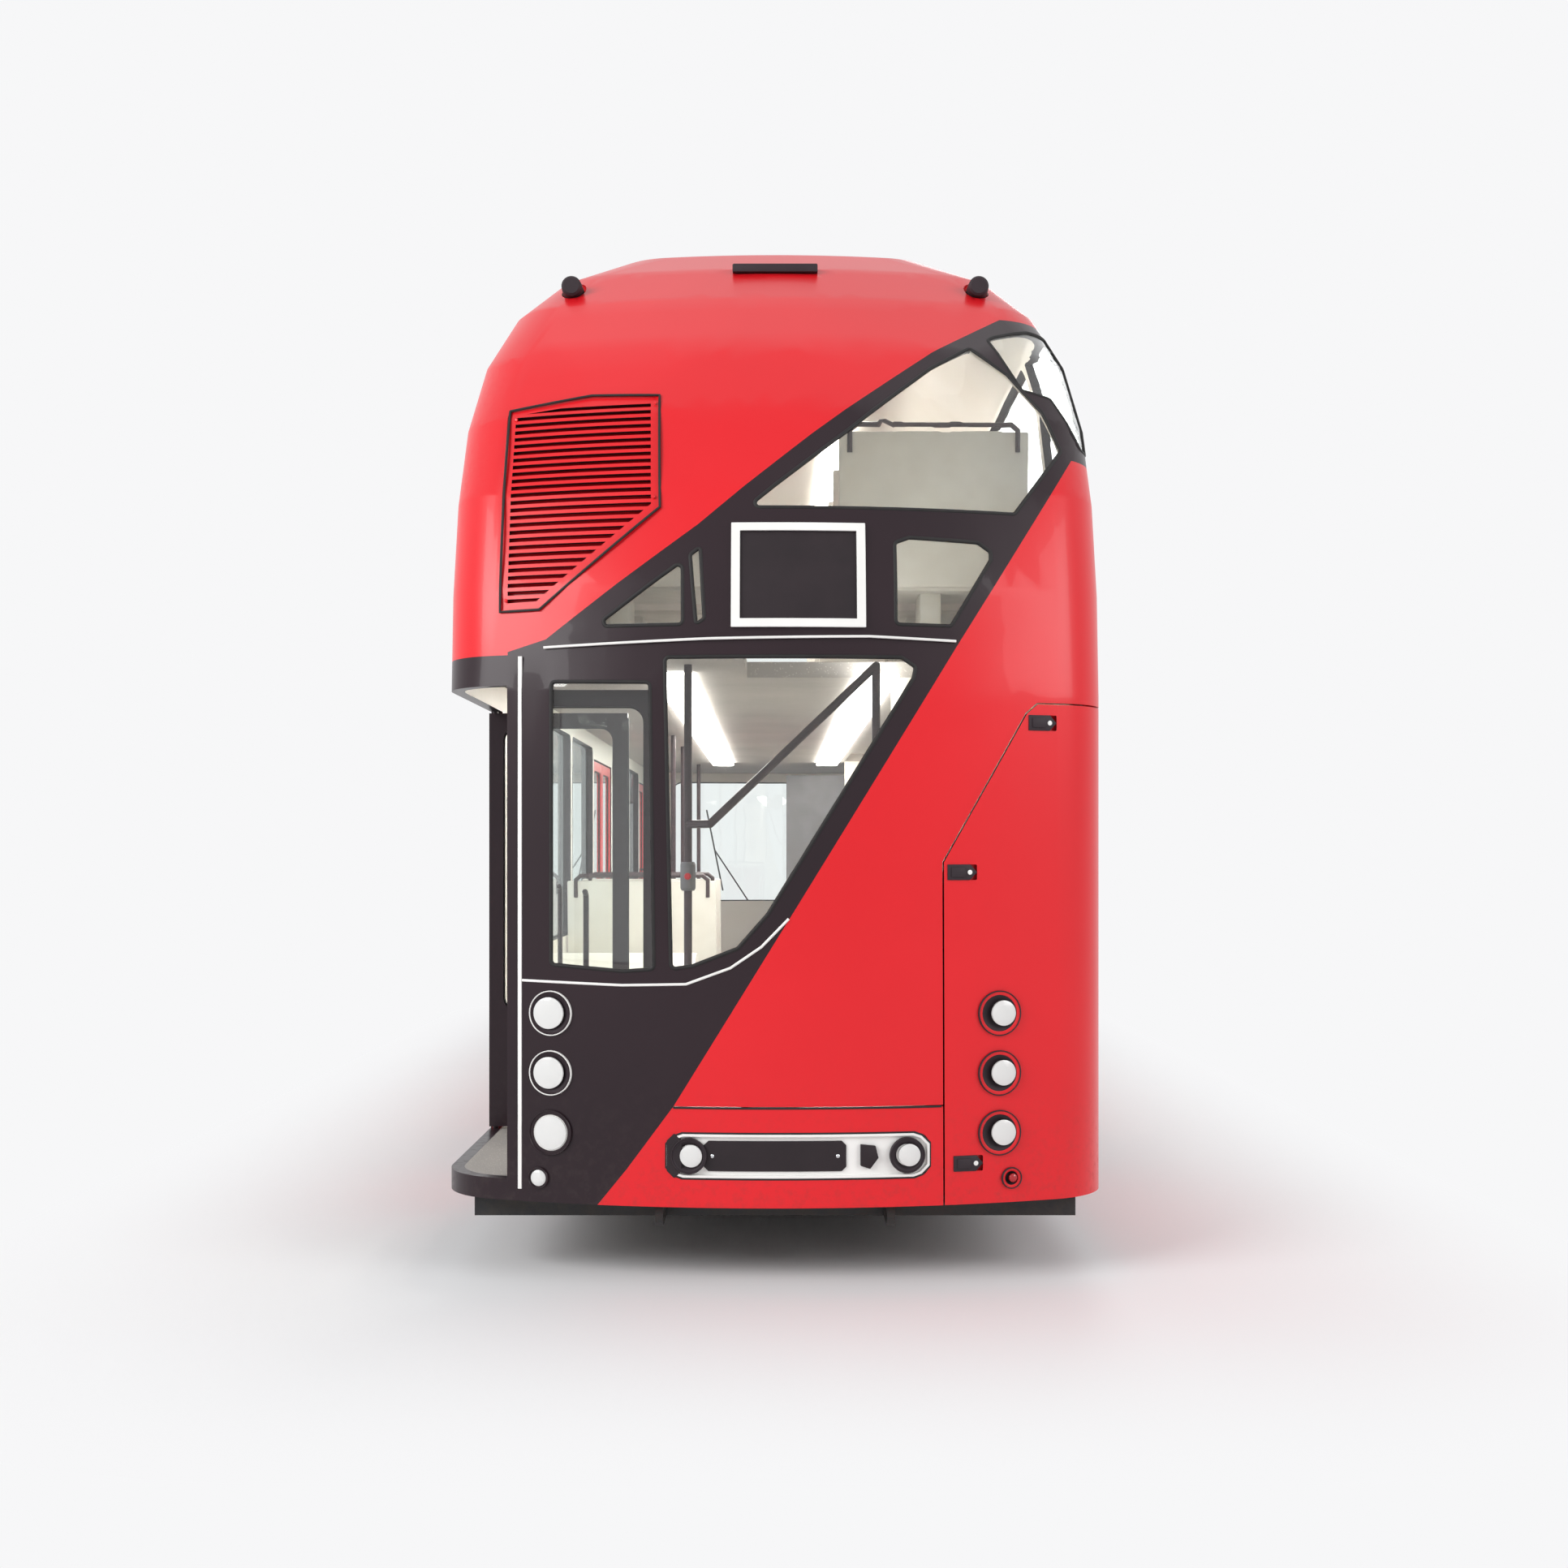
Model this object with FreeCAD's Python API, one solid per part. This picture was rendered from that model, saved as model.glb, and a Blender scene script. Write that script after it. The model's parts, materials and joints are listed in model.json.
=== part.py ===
import FreeCAD, Part

import math
import os

# A double decker city bus, 11.2 m long, with an open rear platform, three doorways on the left
# side, a slanting glazed band across the tail and two saloons. Millimetres. X runs to the bus's
# right side, Y to its front and Z up. The origin is on the ground under the middle of the bus.

V = FreeCAD.Vector

# Overall sizes
overall_length = 11230.0
overall_width = 2520.0
overall_height = 4390.0
rear_overhang = 3060.0
wheelbase = 5500.0
skirt_height = 300.0
wall = 50.0
roof_thickness = 100.0
overrun = 100.0
running_clearance = 0.05

# Body curves
roof_flat = 60.0
shoulder_start = 2600.0
shoulder_power = 4
lean_start = 2200.0
rear_lean = 2400.0
front_lean = 900.0
bow_radius = 3200.0
corner_radius = 302.0
level_shares = (0, 0.18, 0.35, 0.5, 0.64, 0.76, 0.86, 0.94, 1)

# Heights of floors, seams and glass
floor_top = 380.0
floor_thickness = 70.0
upper_floor_top = 2450.0
lower_band_low = 1060.0
lower_band_high = 2350.0
upper_band_low = 3130.0
upper_band_high = 3820.0
band_margin = 58.0
pane_radius = 60.0
pillar = 70.0
glass_recess = 4.0
glass_thickness = 8.0

# Lengthwise places, from the middle of the bus
rear_zone_y = -4200.0
front_zone_y = 5040.0
front_door_y = 3720.0
centre_door_y = -220.0
doorway_width = 1260.0
door_top = 2223.0
header_top = 2338.0
upper_pane_count = 6
lower_offside_pane_count = 5
rear_bay_pane_count = 3
front_bay_pane_count = 2
offside_lower_end_y = -3300.0

# Slanting seams and panes of the tail, each point as a share of the half width and of the height
upper_seam_shares = (
    (-0.678, 0.545),
    (-0.227, 0.642),
    (0.110, 0.726),
    (0.493, 0.816),
    (0.735, 0.865),
)
lower_seam_shares = ((0.919, 0.713), (0.535, 0.5385), (0.042, 0.309), (-0.294, 0.153), (-0.433, 0.099))
upper_pane_shares = (
    (-0.084, 0.6565),
    (0.221, 0.7303),
    (0.488, 0.7989),
    (0.617, 0.8242),
    (0.732, 0.7973),
    (0.833, 0.7579),
    (0.884, 0.7200),
    (0.720, 0.6560),
)
corner_pane_shares = ((0.775, 0.7805), (0.680, 0.8362), (0.705, 0.8412), (0.824, 0.8535))
corner_pane_foot_shares = ((0.960, 0.7267), (0.866, 0.7740))
left_pane_shares = ((-0.533, 0.5544), (-0.271, 0.6102), (-0.269, 0.5549))
strip_pane_shares = ((-0.250, 0.6150), (-0.219, 0.6221), (-0.206, 0.5595), (-0.231, 0.5549))
right_pane_shares = (
    (0.352, 0.6264),
    (0.395, 0.6312),
    (0.603, 0.6289),
    (0.642, 0.6207),
    (0.641, 0.6134),
    (0.517, 0.5549),
    (0.352, 0.5554),
)
leaf_pane_shares = (
    (-0.660, 0.5088),
    (-0.364, 0.5068),
    (-0.352, 0.2667),
    (-0.442, 0.2646),
    (-0.660, 0.2694),
)
stair_pane_shares = (
    (-0.322, 0.5277),
    (0.369, 0.5277),
    (0.411, 0.5196),
    (0.404, 0.5102),
    (-0.021, 0.3125),
    (-0.108, 0.2842),
    (-0.240, 0.2694),
    (-0.303, 0.2667),
)
grille_shares = (
    (-0.832, 0.7608),
    (-0.566, 0.7695),
    (-0.354, 0.7665),
    (-0.341, 0.6579),
    (-0.698, 0.5706),
    (-0.825, 0.5695),
)
engine_door_shares = ((0.489, 0.3563), (0.742, 0.4830), (0.777, 0.4916))
latch_shares = ((0.794, 0.4745), (0.549, 0.3476), (0.567, 0.1027))
seam_radius = 40.0
sharp_radius = 6.0

# Wheels, tyres and arches
tyre_radius = 479.0
tyre_width = 275.0
tyre_shoulder = 32.0
tyre_crown_drop = 7.0
tyre_side_count = 34
bead_radius = 286.0
rim_thickness = 16.0
rim_lip = 14.0
disc_thickness = 20.0
disc_shoulder_radius = 212.0
disc_drop = 24.0
hub_face = 88.0
hub_radius = 105.0
cap_length = 45.0
hand_hole_count = 8
hand_hole_circle = 170.0
hand_hole_radius = 24.0
stub_radius = 45.0
front_wheel_x = 1095.0
rear_outer_wheel_x = 1082.5
rear_inner_wheel_x = 777.5
front_arch_radius = 600.0
rear_arch_radius = 560.0
liner_thickness = 20.0
front_liner_x = 560.0
rear_liner_x = 440.0

# Steering knuckles and axles
kingpin_x = 925.0
kingpin_radius = 20.0
eye_radius = 45.0
eye_height = 120.0
yoke_gap = 5.0
yoke_thickness = 30.0
plate_radius = 190.0
plate_x = 980.0
plate_thickness = 20.0
beam_low = 140.0
beam_height = 80.0
beam_depth = 110.0
upright_x = 800.0
spring_x = 500.0
spring_radius = 85.0
portal_x = 520.0
portal_width = 90.0
portal_depth = 240.0
drum_length = 90.0
arm_height = 60.0
axle_tube_z = 215.0
axle_tube_radius = 55.0
differential_radius = 85.0
differential_width = 340.0

# Underframe
rail_x = 430.0
rail_width = 60.0
rail_height = 100.0
rail_end = 320.0
rail_axle_clearance = 350.0
member_pitch = 900.0
outrigger_reach = 1150.0
tow_eye_radius = 22.0
tow_eye_thickness = 30.0
tow_eye_width = 100.0
tow_eye_reach = 170.0

# Door leaves
leaf_thickness = 36.0
leaf_recess = 7.0
leaf_gap = 10.0
leaf_end_gap = 12.0
leaf_meeting_gap = 14.0
leaf_axis = 38.0
leaf_stile = 62.0
leaf_glass_low = 900.0
leaf_glass_thickness = 8.0
leaf_pin_radius = 12.0
leaf_pin_length = 30.0
platform_leaf_length = 580.0
platform_hinge_x = -985.0
platform_hinge_y = -5362.0
platform_bracket_width = 70.0
platform_bracket_height = 40.0
post_outer_x = -1002.0

# Tail fittings
box_centre_x = 85.0
route_box_width = 490.0
route_box_low = 2424.0
route_box_high = 2820.0
route_box_depth = 56.0
route_box_rim = 32.0
route_box_proud = 8.0
plate_tray_width = 960.0
plate_tray_height = 160.0
plate_tray_z = 489.0
plate_tray_x = 85.0
plate_width = 520.0
plate_height = 111.0
plate_proud = 4.0
plate_tray_depth = 24.0
plate_tray_rim = 10.0
lamp_x = 832.0
lamp_top_z = 1003.0
lamp_pitch = 221.5
lamp_count = 3
bezel_radius = 84.0
lens_radius = 62.0
lamp_depth = 30.0
lamp_proud = 10.0
small_lamp_x = 878.0
small_lamp_z = 390.0
small_lamp_radius = 40.0
roof_lamp_x = 855.0
roof_lamp_z = 3985.0
roof_lamp_radius = 55.0
roof_lamp_length = 90.0
roof_slot_z = 4070.0
roof_slot_width = 360.0
roof_slot_height = 36.0
roof_slot_proud = 12.0
engine_door_x = 620.0
engine_door_front_y = -4800.0
engine_door_top = 2160.0
engine_door_gap = 6.0
bumper_top = 664.0
bumper_gap = 6.0
hinge_low = 600.0
hinge_high = 1850.0
hinge_barrel = 90.0
hinge_radius = 12.0
hinge_pin_radius = 5.0
hinge_gap = 1.0
latch_width = 110.0
latch_height = 58.0
latch_depth = 20.0
latch_proud = 6.0
slat_pitch = 30.0
slot_height = 16.0
grille_rim = 34.0
grille_recess = 4.0
grille_depth = 34.0
grille_back = 6.0

# Nose fittings
headlamp_x = 860.0
headlamp_z = 640.0
headlamp_radius = 95.0
inner_headlamp_x = 630.0
inner_headlamp_radius = 70.0
indicator_z = 860.0
indicator_radius = 45.0
front_box_width = 1180.0
front_box_low = 2480.0
front_box_high = 2840.0
mirror_x = 1420.0
mirror_y = 5130.0
mirror_z = 2400.0
mirror_arm_radius = 18.0
mirror_width = 190.0
mirror_height = 330.0
mirror_depth = 80.0
mirror_radius = 30.0

# Inside
seat_width = 860.0
seat_depth = 430.0
seat_cushion = 90.0
seat_height = 450.0
seat_back_height = 620.0
seat_back_thickness = 80.0
seat_back_lean = 60.0
seat_leg_width = 120.0
seat_wall_gap = 12.0
seat_radius = 30.0
upper_seat_pitch = 800.0
driver_seat_y = 3940.0
driver_seat_width = 480.0
riser_count = 9
first_flight_count = 4
tread = 215.0
stair_slab = 30.0
stair_first_x = -340.0
rear_stair_y = -4800.0
front_stair_y = 1500.0
front_stair_x = 600.0
rail_radius = 17.0
rail_post_height = 950.0
platform_pole_x = -362.0
platform_pole_y = -4700.0
door_pole_x = -680.0
rear_rail_y = -5080.0
stair_rail_bend_x = -265.0
stair_rail_low = 1716.0
stair_rail_high = 2362.0
engine_length = 900.0
engine_width = 550.0
engine_height = 800.0
engine_x = 895.0
engine_y = -4800.0
housing_thickness = 20.0
housing_clearance = 45.0
dash_y = 4715.0
dash_top = 880.0
dash_overhang = 65.0
dash_wall = 40.0
cab_edge_x = 100.0
cab_wall_y = 3650.0
cab_wall_top = 2280.0
steering_wheel_radius = 225.0
steering_rim_radius = 16.0
steering_wheel_back = 260.0
steering_wheel_z = 1130.0
steering_column_radius = 24.0
steering_column_length = 860.0
steering_tilt = 30.0

# Worked out from the sizes above
half_width = overall_width / 2
rear_y = -overall_length / 2
front_y = overall_length / 2
apex = overall_height + roof_flat
rear_axle_y = rear_y + rear_overhang
front_axle_y = rear_axle_y + wheelbase
inner_x = half_width - wall
far = half_width + overrun
floor_low = floor_top - floor_thickness
upper_floor_low = upper_floor_top - floor_thickness
leaf_x = leaf_recess + leaf_thickness / 2 - half_width
inner_top = overall_height - roof_thickness


def rounded(corners, radius):
    """Where a closed outline turns at each corner: start, middle and end of the round there."""
    turns = []
    for i, corner in enumerate(corners):
        p = V(corner[0], corner[1], 0)
        before = V(corners[i - 1][0], corners[i - 1][1], 0) - p
        following = corners[(i + 1) % len(corners)]
        after = V(following[0], following[1], 0) - p
        half = before.getAngle(after) / 2
        setback = min(radius / math.tan(half), before.Length / 3, after.Length / 3)
        actual = setback * math.tan(half)
        before.normalize()
        after.normalize()
        if radius == 0 or half > math.radians(88):
            turns.append((p, None, p))
        else:
            inward = (before + after).normalize() * (actual / math.sin(half) - actual)
            turns.append((p + before * setback, p + inward, p + after * setback))
    return turns


def outline_face(corners, radius, place):
    """A flat face inside a rounded outline; place puts a point of the outline in space."""
    turns = rounded(corners, radius)
    edges = []
    for i, (start, middle, end) in enumerate(turns):
        if middle is not None:
            edges.append(Part.Arc(place(start), place(middle), place(end)).toShape())
        edges.append(Part.makeLine(place(end), place(turns[(i + 1) % len(turns)][0])))
    return Part.Face(Part.Wire(edges))


def prism_y(corners, y0, y1, radius=0):
    """An outline seen from behind, in X and Z, run lengthwise."""
    face = outline_face(corners, radius, lambda p: V(p.x, y0, p.y))
    return face.extrude(V(0, y1 - y0, 0))


def prism_x(corners, x0, x1, radius=0):
    """An outline seen from the side, in Y and Z, run across the bus."""
    face = outline_face(corners, radius, lambda p: V(x0, p.x, p.y))
    return face.extrude(V(x1 - x0, 0, 0))


def block(x0, x1, y0, y1, z0, z1):
    low = V(min(x0, x1), min(y0, y1), min(z0, z1))
    return Part.makeBox(abs(x1 - x0), abs(y1 - y0), abs(z1 - z0), low)


def rod(start, end, radius):
    return Part.makeCylinder(radius, (end - start).Length, start, end - start)


def joined(shapes):
    if len(shapes) == 1:
        return shapes[0]
    return shapes[0].multiFuse(shapes[1:]).removeSplitter()


def group(shapes):
    return Part.makeCompound([solid for shape in shapes for solid in shape.Solids])


def mirrored(shape):
    return shape.mirror(V(0, 0, 0), V(1, 0, 0))


def save(name, shape):
    group([shape]).exportStep("parts/" + name + ".step")


# The body's outer form: level sections, each with bowed ends, round corners and straight sides,
# stacked into a loft. Forms already made are kept by how far they are drawn in.
hulls = {}


def shoulder(z):
    """Half width at a height and its slope: upright below, rounded over into the roof above."""
    rise = max(0.0, z - shoulder_start) / (apex - shoulder_start)
    root = math.sqrt(1 - rise**shoulder_power)
    slope = half_width * shoulder_power * rise ** (shoulder_power - 1) / (apex - shoulder_start)
    return half_width * root, slope / (2 * root)


def lean(z, length):
    """How far an end of the bus leans in at a height, along a quarter ellipse, and its slope."""
    rise = max(0.0, z - lean_start) / (apex - lean_start)
    root = math.sqrt(1 - rise**2)
    return length * (1 - root), length * rise / (root * (apex - lean_start))


def bowed_end(width, corner, bow, tip_y, inward):
    """Start, middle and end of the right corner of an end: from the bow round to the side."""
    share = (width - corner) / (bow - corner)
    outward = V(share, -inward * math.sqrt(1 - share**2), 0)
    centre = V(0, tip_y + inward * bow, 0) + outward * (bow - corner)
    diagonal = (outward + V(1, 0, 0)).normalize()
    return [centre + way * corner for way in (outward, diagonal, V(1, 0, 0))]


def section(z, inset):
    width, slope = shoulder(z)
    width -= inset * math.sqrt(1 + slope**2)
    back, slope = lean(z, rear_lean)
    tail = rear_y + back + inset * math.sqrt(1 + slope**2)
    back, slope = lean(z, front_lean)
    nose = front_y - back - inset * math.sqrt(1 + slope**2)
    corner = corner_radius - inset
    bow = bow_radius - inset
    up = V(0, 0, z)
    rear = [p + up for p in bowed_end(width, corner, bow, tail, 1)]
    front = [p + up for p in bowed_end(width, corner, bow, nose, -1)]
    rear_left = [V(-p.x, p.y, z) for p in rear]
    front_left = [V(-p.x, p.y, z) for p in front]
    return Part.Wire(
        [
            Part.Arc(rear_left[0], V(0, tail, z), rear[0]).toShape(),
            Part.Arc(*rear).toShape(),
            Part.makeLine(rear[2], front[2]),
            Part.Arc(*reversed(front)).toShape(),
            Part.Arc(front[0], V(0, nose, z), front_left[0]).toShape(),
            Part.Arc(*front_left).toShape(),
            Part.makeLine(front_left[2], rear_left[2]),
            Part.Arc(*reversed(rear_left)).toShape(),
        ]
    )


def flat_band(low, high):
    """The flat face between two level straight edges, one above the other."""
    start, end = [vertex.Point for vertex in low.Vertexes]
    far_end, near_end = [vertex.Point for vertex in high.Vertexes]
    if near_end.distanceToPoint(start) > far_end.distanceToPoint(start):
        far_end, near_end = near_end, far_end
    return Part.Face(Part.makePolygon([start, end, far_end, near_end, start]))


def hull(inset, top, bottom):
    """The closed body form, drawn in by inset from the outer skin all round."""
    levels = [bottom] + [lean_start + share * (top - lean_start) for share in level_shares]
    rings = [section(z, inset) for z in levels]
    faces = [Part.Face(rings[0]), Part.Face(rings[-1])]
    for below, above in zip(rings, rings[1:]):
        for low, high in zip(below.OrderedEdges, above.OrderedEdges):
            straight = low.Curve.TypeId == "Part::GeomLine"
            faces.append(flat_band(low, high) if straight else Part.makeRuledSurface(low, high))
    shell = Part.Shell(faces)
    shell.sewShape()
    form = Part.Solid(shell)
    return form if form.Volume > 0 else form.reversed()


def skin(tool, depth, thickness):
    """The part of a tool that lies between two depths below the body's outer face."""
    for inset in (depth, depth + thickness):
        if inset not in hulls:
            hulls[inset] = hull(inset, overall_height - inset, skirt_height - overrun)
    return tool.common(hulls[depth]).cut(hulls[depth + thickness])


def skin_point(x, z, end):
    """Point on the outer skin of the tail (end -1) or nose (end 1), and the way it faces."""
    back = lean(z, rear_lean if end < 0 else front_lean)[0]
    rise = math.sqrt(bow_radius**2 - x**2)
    outward = V(x, end * rise, 0).normalize()
    return V(x, end * (front_y - back - bow_radius + rise), z), outward


def tail_points(shares):
    """Points of an outline on the tail, from their shares of the half width and the height."""
    return [(x * half_width, z * overall_height) for x, z in shares]


upper_seam = tail_points(upper_seam_shares)
lower_seam = tail_points(lower_seam_shares)
under = skirt_height - overrun
over = overall_height + overrun
dome_outline = [(-far, header_top), (post_outer_x, header_top), (post_outer_x, lower_band_high)]
dome_outline += upper_seam + [(far, upper_band_high), (far, over), (-far, over)]
red_outline = [(far, upper_band_low)] + lower_seam
red_outline += [(lower_seam[-1][0] - floor_top / 2, under), (far, under)]
dark_outline = [(-far, floor_top), (post_outer_x, floor_top), (post_outer_x, door_top)]
dark_outline += [(-far, door_top)] + dome_outline[:-2]
dark_outline += red_outline[:-1] + [(-far, under)]


def lengthwise(y0, y1, z0, z1):
    return block(-far, far, y0, y1, z0, z1)


def side_openings(side):
    """Doorways and wheel arches of one side, as tools that cut through its wall."""
    x0 = side * (inner_x - overrun)
    x1 = side * far
    tools = []
    for y, radius in ((rear_axle_y, rear_arch_radius), (front_axle_y, front_arch_radius)):
        tools.append(arch(radius, x0, x1, y, under))
    if side < 0:
        for y in (centre_door_y, front_door_y):
            tools.append(block(x0, x1, y, y + doorway_width, floor_top, door_top))
    return tools


def arch(radius, x0, x1, y, bottom):
    """A wheel arch's form: a round top over straight legs, run across the bus."""
    drum = rod(V(min(x0, x1), y, tyre_radius), V(max(x0, x1), y, tyre_radius), radius)
    legs = block(x0, x1, y - radius, y + radius, bottom, tyre_radius)
    return joined([drum, legs])


def pane_row(y0, y1, z0, z1, count, side):
    """Equal window panes along a side between y0 and y1, with pillars between them."""
    length = (y1 - y0 - (count - 1) * pillar) / count
    panes = []
    for i in range(count):
        start = y0 + i * (length + pillar)
        corners = [(start, z0), (start + length, z0), (start + length, z1), (start, z1)]
        x0, x1 = sorted((side * (half_width / 2), side * far))
        panes.append(prism_x(corners, x0, x1, pane_radius))
    return panes


lower_pane_low = lower_band_low + band_margin
lower_pane_high = lower_band_high - band_margin
upper_pane_low = upper_band_low + band_margin
upper_pane_high = upper_band_high - band_margin


def side_panes(side):
    rear = rear_zone_y + pillar / 2
    front = front_zone_y - pillar * 2
    panes = pane_row(rear, front, upper_pane_low, upper_pane_high, upper_pane_count, side)
    if side > 0:
        start = offside_lower_end_y + pillar
        count = lower_offside_pane_count
        panes += pane_row(start, front, lower_pane_low, lower_pane_high, count, side)
    else:
        centre_front = centre_door_y + doorway_width
        spans = (
            (rear + pillar, centre_door_y, rear_bay_pane_count),
            (centre_front, front_door_y, front_bay_pane_count),
        )
        for y0, y1, count in spans:
            panes += pane_row(y0 + pillar, y1 - pillar, lower_pane_low, lower_pane_high, count, side)
    return panes


def nose_panes():
    """Openings of the two windscreens."""
    y0 = front_zone_y - overrun
    wide = half_width - corner_radius + pillar
    lower = [(-wide, lower_pane_low), (wide, lower_pane_low)]
    lower += [(wide, lower_pane_high), (-wide, lower_pane_high)]
    narrow = wide - band_margin * 2
    upper = [(-wide + band_margin, upper_pane_low), (wide - band_margin, upper_pane_low)]
    upper += [(narrow, upper_pane_high), (-narrow, upper_pane_high)]
    return [prism_y(points, y0, front_y + overrun, pane_radius * 2) for points in (lower, upper)]


def rear_panes():
    """The slanting band's panes, the two low ones by the platform and the one round the corner."""
    y0 = rear_y - overrun
    y1 = rear_zone_y - pillar / 2
    corner = tail_points(corner_pane_shares)
    corner += [(far, upper_pane_high), (far, upper_pane_low)] + tail_points(corner_pane_foot_shares)
    panes = [prism_y(corner, y0, y1, sharp_radius * 3)]
    for shares in (upper_pane_shares, left_pane_shares, strip_pane_shares, right_pane_shares):
        panes.append(prism_y(tail_points(shares), y0, y1, sharp_radius * 3))
    panes.append(prism_y(tail_points(leaf_pane_shares), y0, y1, sharp_radius * 3))
    panes.append(prism_y(tail_points(stair_pane_shares), y0, y1, sharp_radius * 3))
    return panes


# Body panels, cut from one shell


def build_shell():
    """The body's skin pieces by name, the tools that cut them and the panes' layer."""
    shell = hull(0, overall_height, skirt_height).cut(hull(wall, inner_top, under))
    behind = lengthwise(rear_y - overrun, rear_zone_y, under, over)
    middle = lengthwise(rear_zone_y, front_zone_y, under, upper_band_high)
    ahead = lengthwise(front_zone_y, front_y + overrun, under, upper_band_high)
    crown = lengthwise(rear_zone_y, front_y + overrun, upper_band_high, over)
    tail = shell.common(behind)
    dome = tail.common(prism_y(dome_outline, rear_y - overrun, rear_zone_y))
    pieces = {"roof_panel": joined([shell.common(crown), dome])}
    pieces["rear_panel"] = tail.common(prism_y(red_outline, rear_y - overrun, rear_zone_y))
    dark = tail.common(prism_y(dark_outline, rear_y - overrun, rear_zone_y))
    pieces["rear_frame"] = dark.cut(rear_panes())

    lower_glazing = lengthwise(rear_y, front_y + overrun, lower_band_low, lower_band_high)
    upper_glazing = lengthwise(rear_y, front_y + overrun, upper_band_low, upper_band_high)
    nose = shell.common(ahead)
    pieces["front_panels"] = nose.cut([lower_glazing, upper_glazing])
    pieces["front_frames"] = nose.common(group([lower_glazing, upper_glazing])).cut(nose_panes())
    for side, name in ((-1, "nearside"), (1, "offside")):
        half = block(0, side * far, rear_y, front_y, under, over)
        wall_piece = shell.common(middle.common(half)).cut(side_openings(side))
        bands = [lower_glazing, upper_glazing]
        if side > 0:
            start = offside_lower_end_y
            bands[0] = lengthwise(start, front_y + overrun, lower_band_low, lower_band_high)
        pieces["side_panels_" + name] = wall_piece.cut(bands)
        pieces["side_frames_" + name] = wall_piece.common(group(bands)).cut(side_panes(side))
    return pieces


def build_glass():
    sets = {"windows_rear": rear_panes(), "windscreens": nose_panes()}
    sets["windows_nearside"] = side_panes(-1)
    sets["windows_offside"] = side_panes(1)
    glass = {}
    for name, panes in sets.items():
        glass[name] = group([skin(pane, glass_recess, glass_thickness) for pane in panes])
    return glass


# Floors, stairs and what stands on them


def stair_steps(along, count, first_z, rise):
    """Folded outline of a flight: along is the place of its first riser, in the plane of the
    flight's side; the outline's bottom follows its top one slab lower."""
    top = []
    for i in range(count):
        top.append((along + i * tread, first_z + i * rise))
        top.append((along + i * tread, first_z + (i + 1) * rise))
    top.append((along + count * tread, first_z + count * rise))
    bottom = [(a + stair_slab, z - stair_slab) for a, z in top]
    bottom[-1] = (top[-1][0], top[-1][1] - stair_slab)
    bottom[0] = (top[0][0] + stair_slab, first_z)
    return top + bottom[:0:-1] + [bottom[0]]


rise = (upper_floor_top - floor_top) / riser_count
turn_x = stair_first_x + first_flight_count * tread
landing_z = floor_top + (first_flight_count + 1) * rise
second_count = riser_count - first_flight_count - 2
rear_stair_top_y = rear_stair_y + second_count * tread
front_stair_top_y = front_stair_y + (riser_count - 1) * tread
front_well_y = front_stair_y + 2 * tread


def build_rear_stair(inside):
    """A flight across the tail, a quarter landing and a flight forward to the upper floor."""
    first = stair_steps(stair_first_x, first_flight_count, floor_top, rise)
    flight = prism_y(first, rear_y, rear_stair_y).common(inside)
    landing_front = rear_stair_y + stair_slab
    landing = block(turn_x, far, rear_y, landing_front, landing_z - stair_slab, landing_z)
    riser = block(
        turn_x, turn_x + stair_slab, rear_y, rear_stair_y, landing_z - rise - stair_slab, landing_z
    )
    second = stair_steps(rear_stair_y, second_count, landing_z, rise)
    climb = prism_x(second, turn_x, far)
    last_front = rear_stair_top_y + stair_slab
    last = block(turn_x, far, rear_stair_top_y, last_front, upper_floor_low - rise, upper_floor_low)
    return joined([flight] + [piece.common(inside) for piece in (landing, riser, climb, last)])


def build_front_stair(inside):
    steps = stair_steps(front_stair_y, riser_count - 1, floor_top, rise)
    flight = prism_x(steps, front_stair_x, far).common(inside)
    low = upper_floor_low - rise
    front = front_stair_top_y + stair_slab
    last = block(front_stair_x, far, front_stair_top_y, front, low, upper_floor_low)
    return joined([flight, last.common(inside)])


def arch_boxes(outside):
    """The four boxes over the wheels, or with outside set their outer forms for the floor."""
    boxes = []
    for y, radius, liner_x in (
        (rear_axle_y, rear_arch_radius, rear_liner_x),
        (front_axle_y, front_arch_radius, front_liner_x),
    ):
        outer = arch(radius + liner_thickness, liner_x - liner_thickness, inner_x, y, floor_low)
        if not outside:
            outer = outer.cut(arch(radius, liner_x, far, y, under))
            outer = outer.common(lengthwise(rear_y, front_y, floor_low, upper_floor_low))
        boxes += [outer, mirrored(outer)]
    return boxes


def build_floors(inside):
    lower = inside.common(lengthwise(rear_y, front_y, floor_low, floor_top))
    lower = lower.cut(arch_boxes(True))
    upper = inside.common(lengthwise(rear_y, front_y, upper_floor_low, upper_floor_top))
    well = block(stair_first_x + tread, far, rear_y - overrun, rear_stair_top_y, under, over)
    front_well = block(front_stair_x, far, front_well_y, front_stair_top_y, under, over)
    return lower, upper.cut([well, front_well])


def seat(x, y, z, width):
    """A seat facing forward, its middle at x, its back's foot at y and standing on z."""
    top = z + seat_height
    back = y - seat_back_thickness
    outline = [
        (y + seat_depth, top - seat_cushion),
        (y + seat_depth, top),
        (y + seat_back_thickness / 2, top),
        (back + seat_back_thickness / 2 - seat_back_lean, top + seat_back_height),
        (back - seat_back_thickness / 2 - seat_back_lean, top + seat_back_height),
        (back, top - seat_cushion),
    ]
    bench = prism_x(outline, x - width / 2, x + width / 2, seat_radius)
    half = seat_leg_width / 2
    leg_front = y + seat_depth - seat_leg_width
    leg = block(x - half, x + half, y, leg_front, z, top - seat_cushion / 2)
    return joined([bench, leg])


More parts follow.
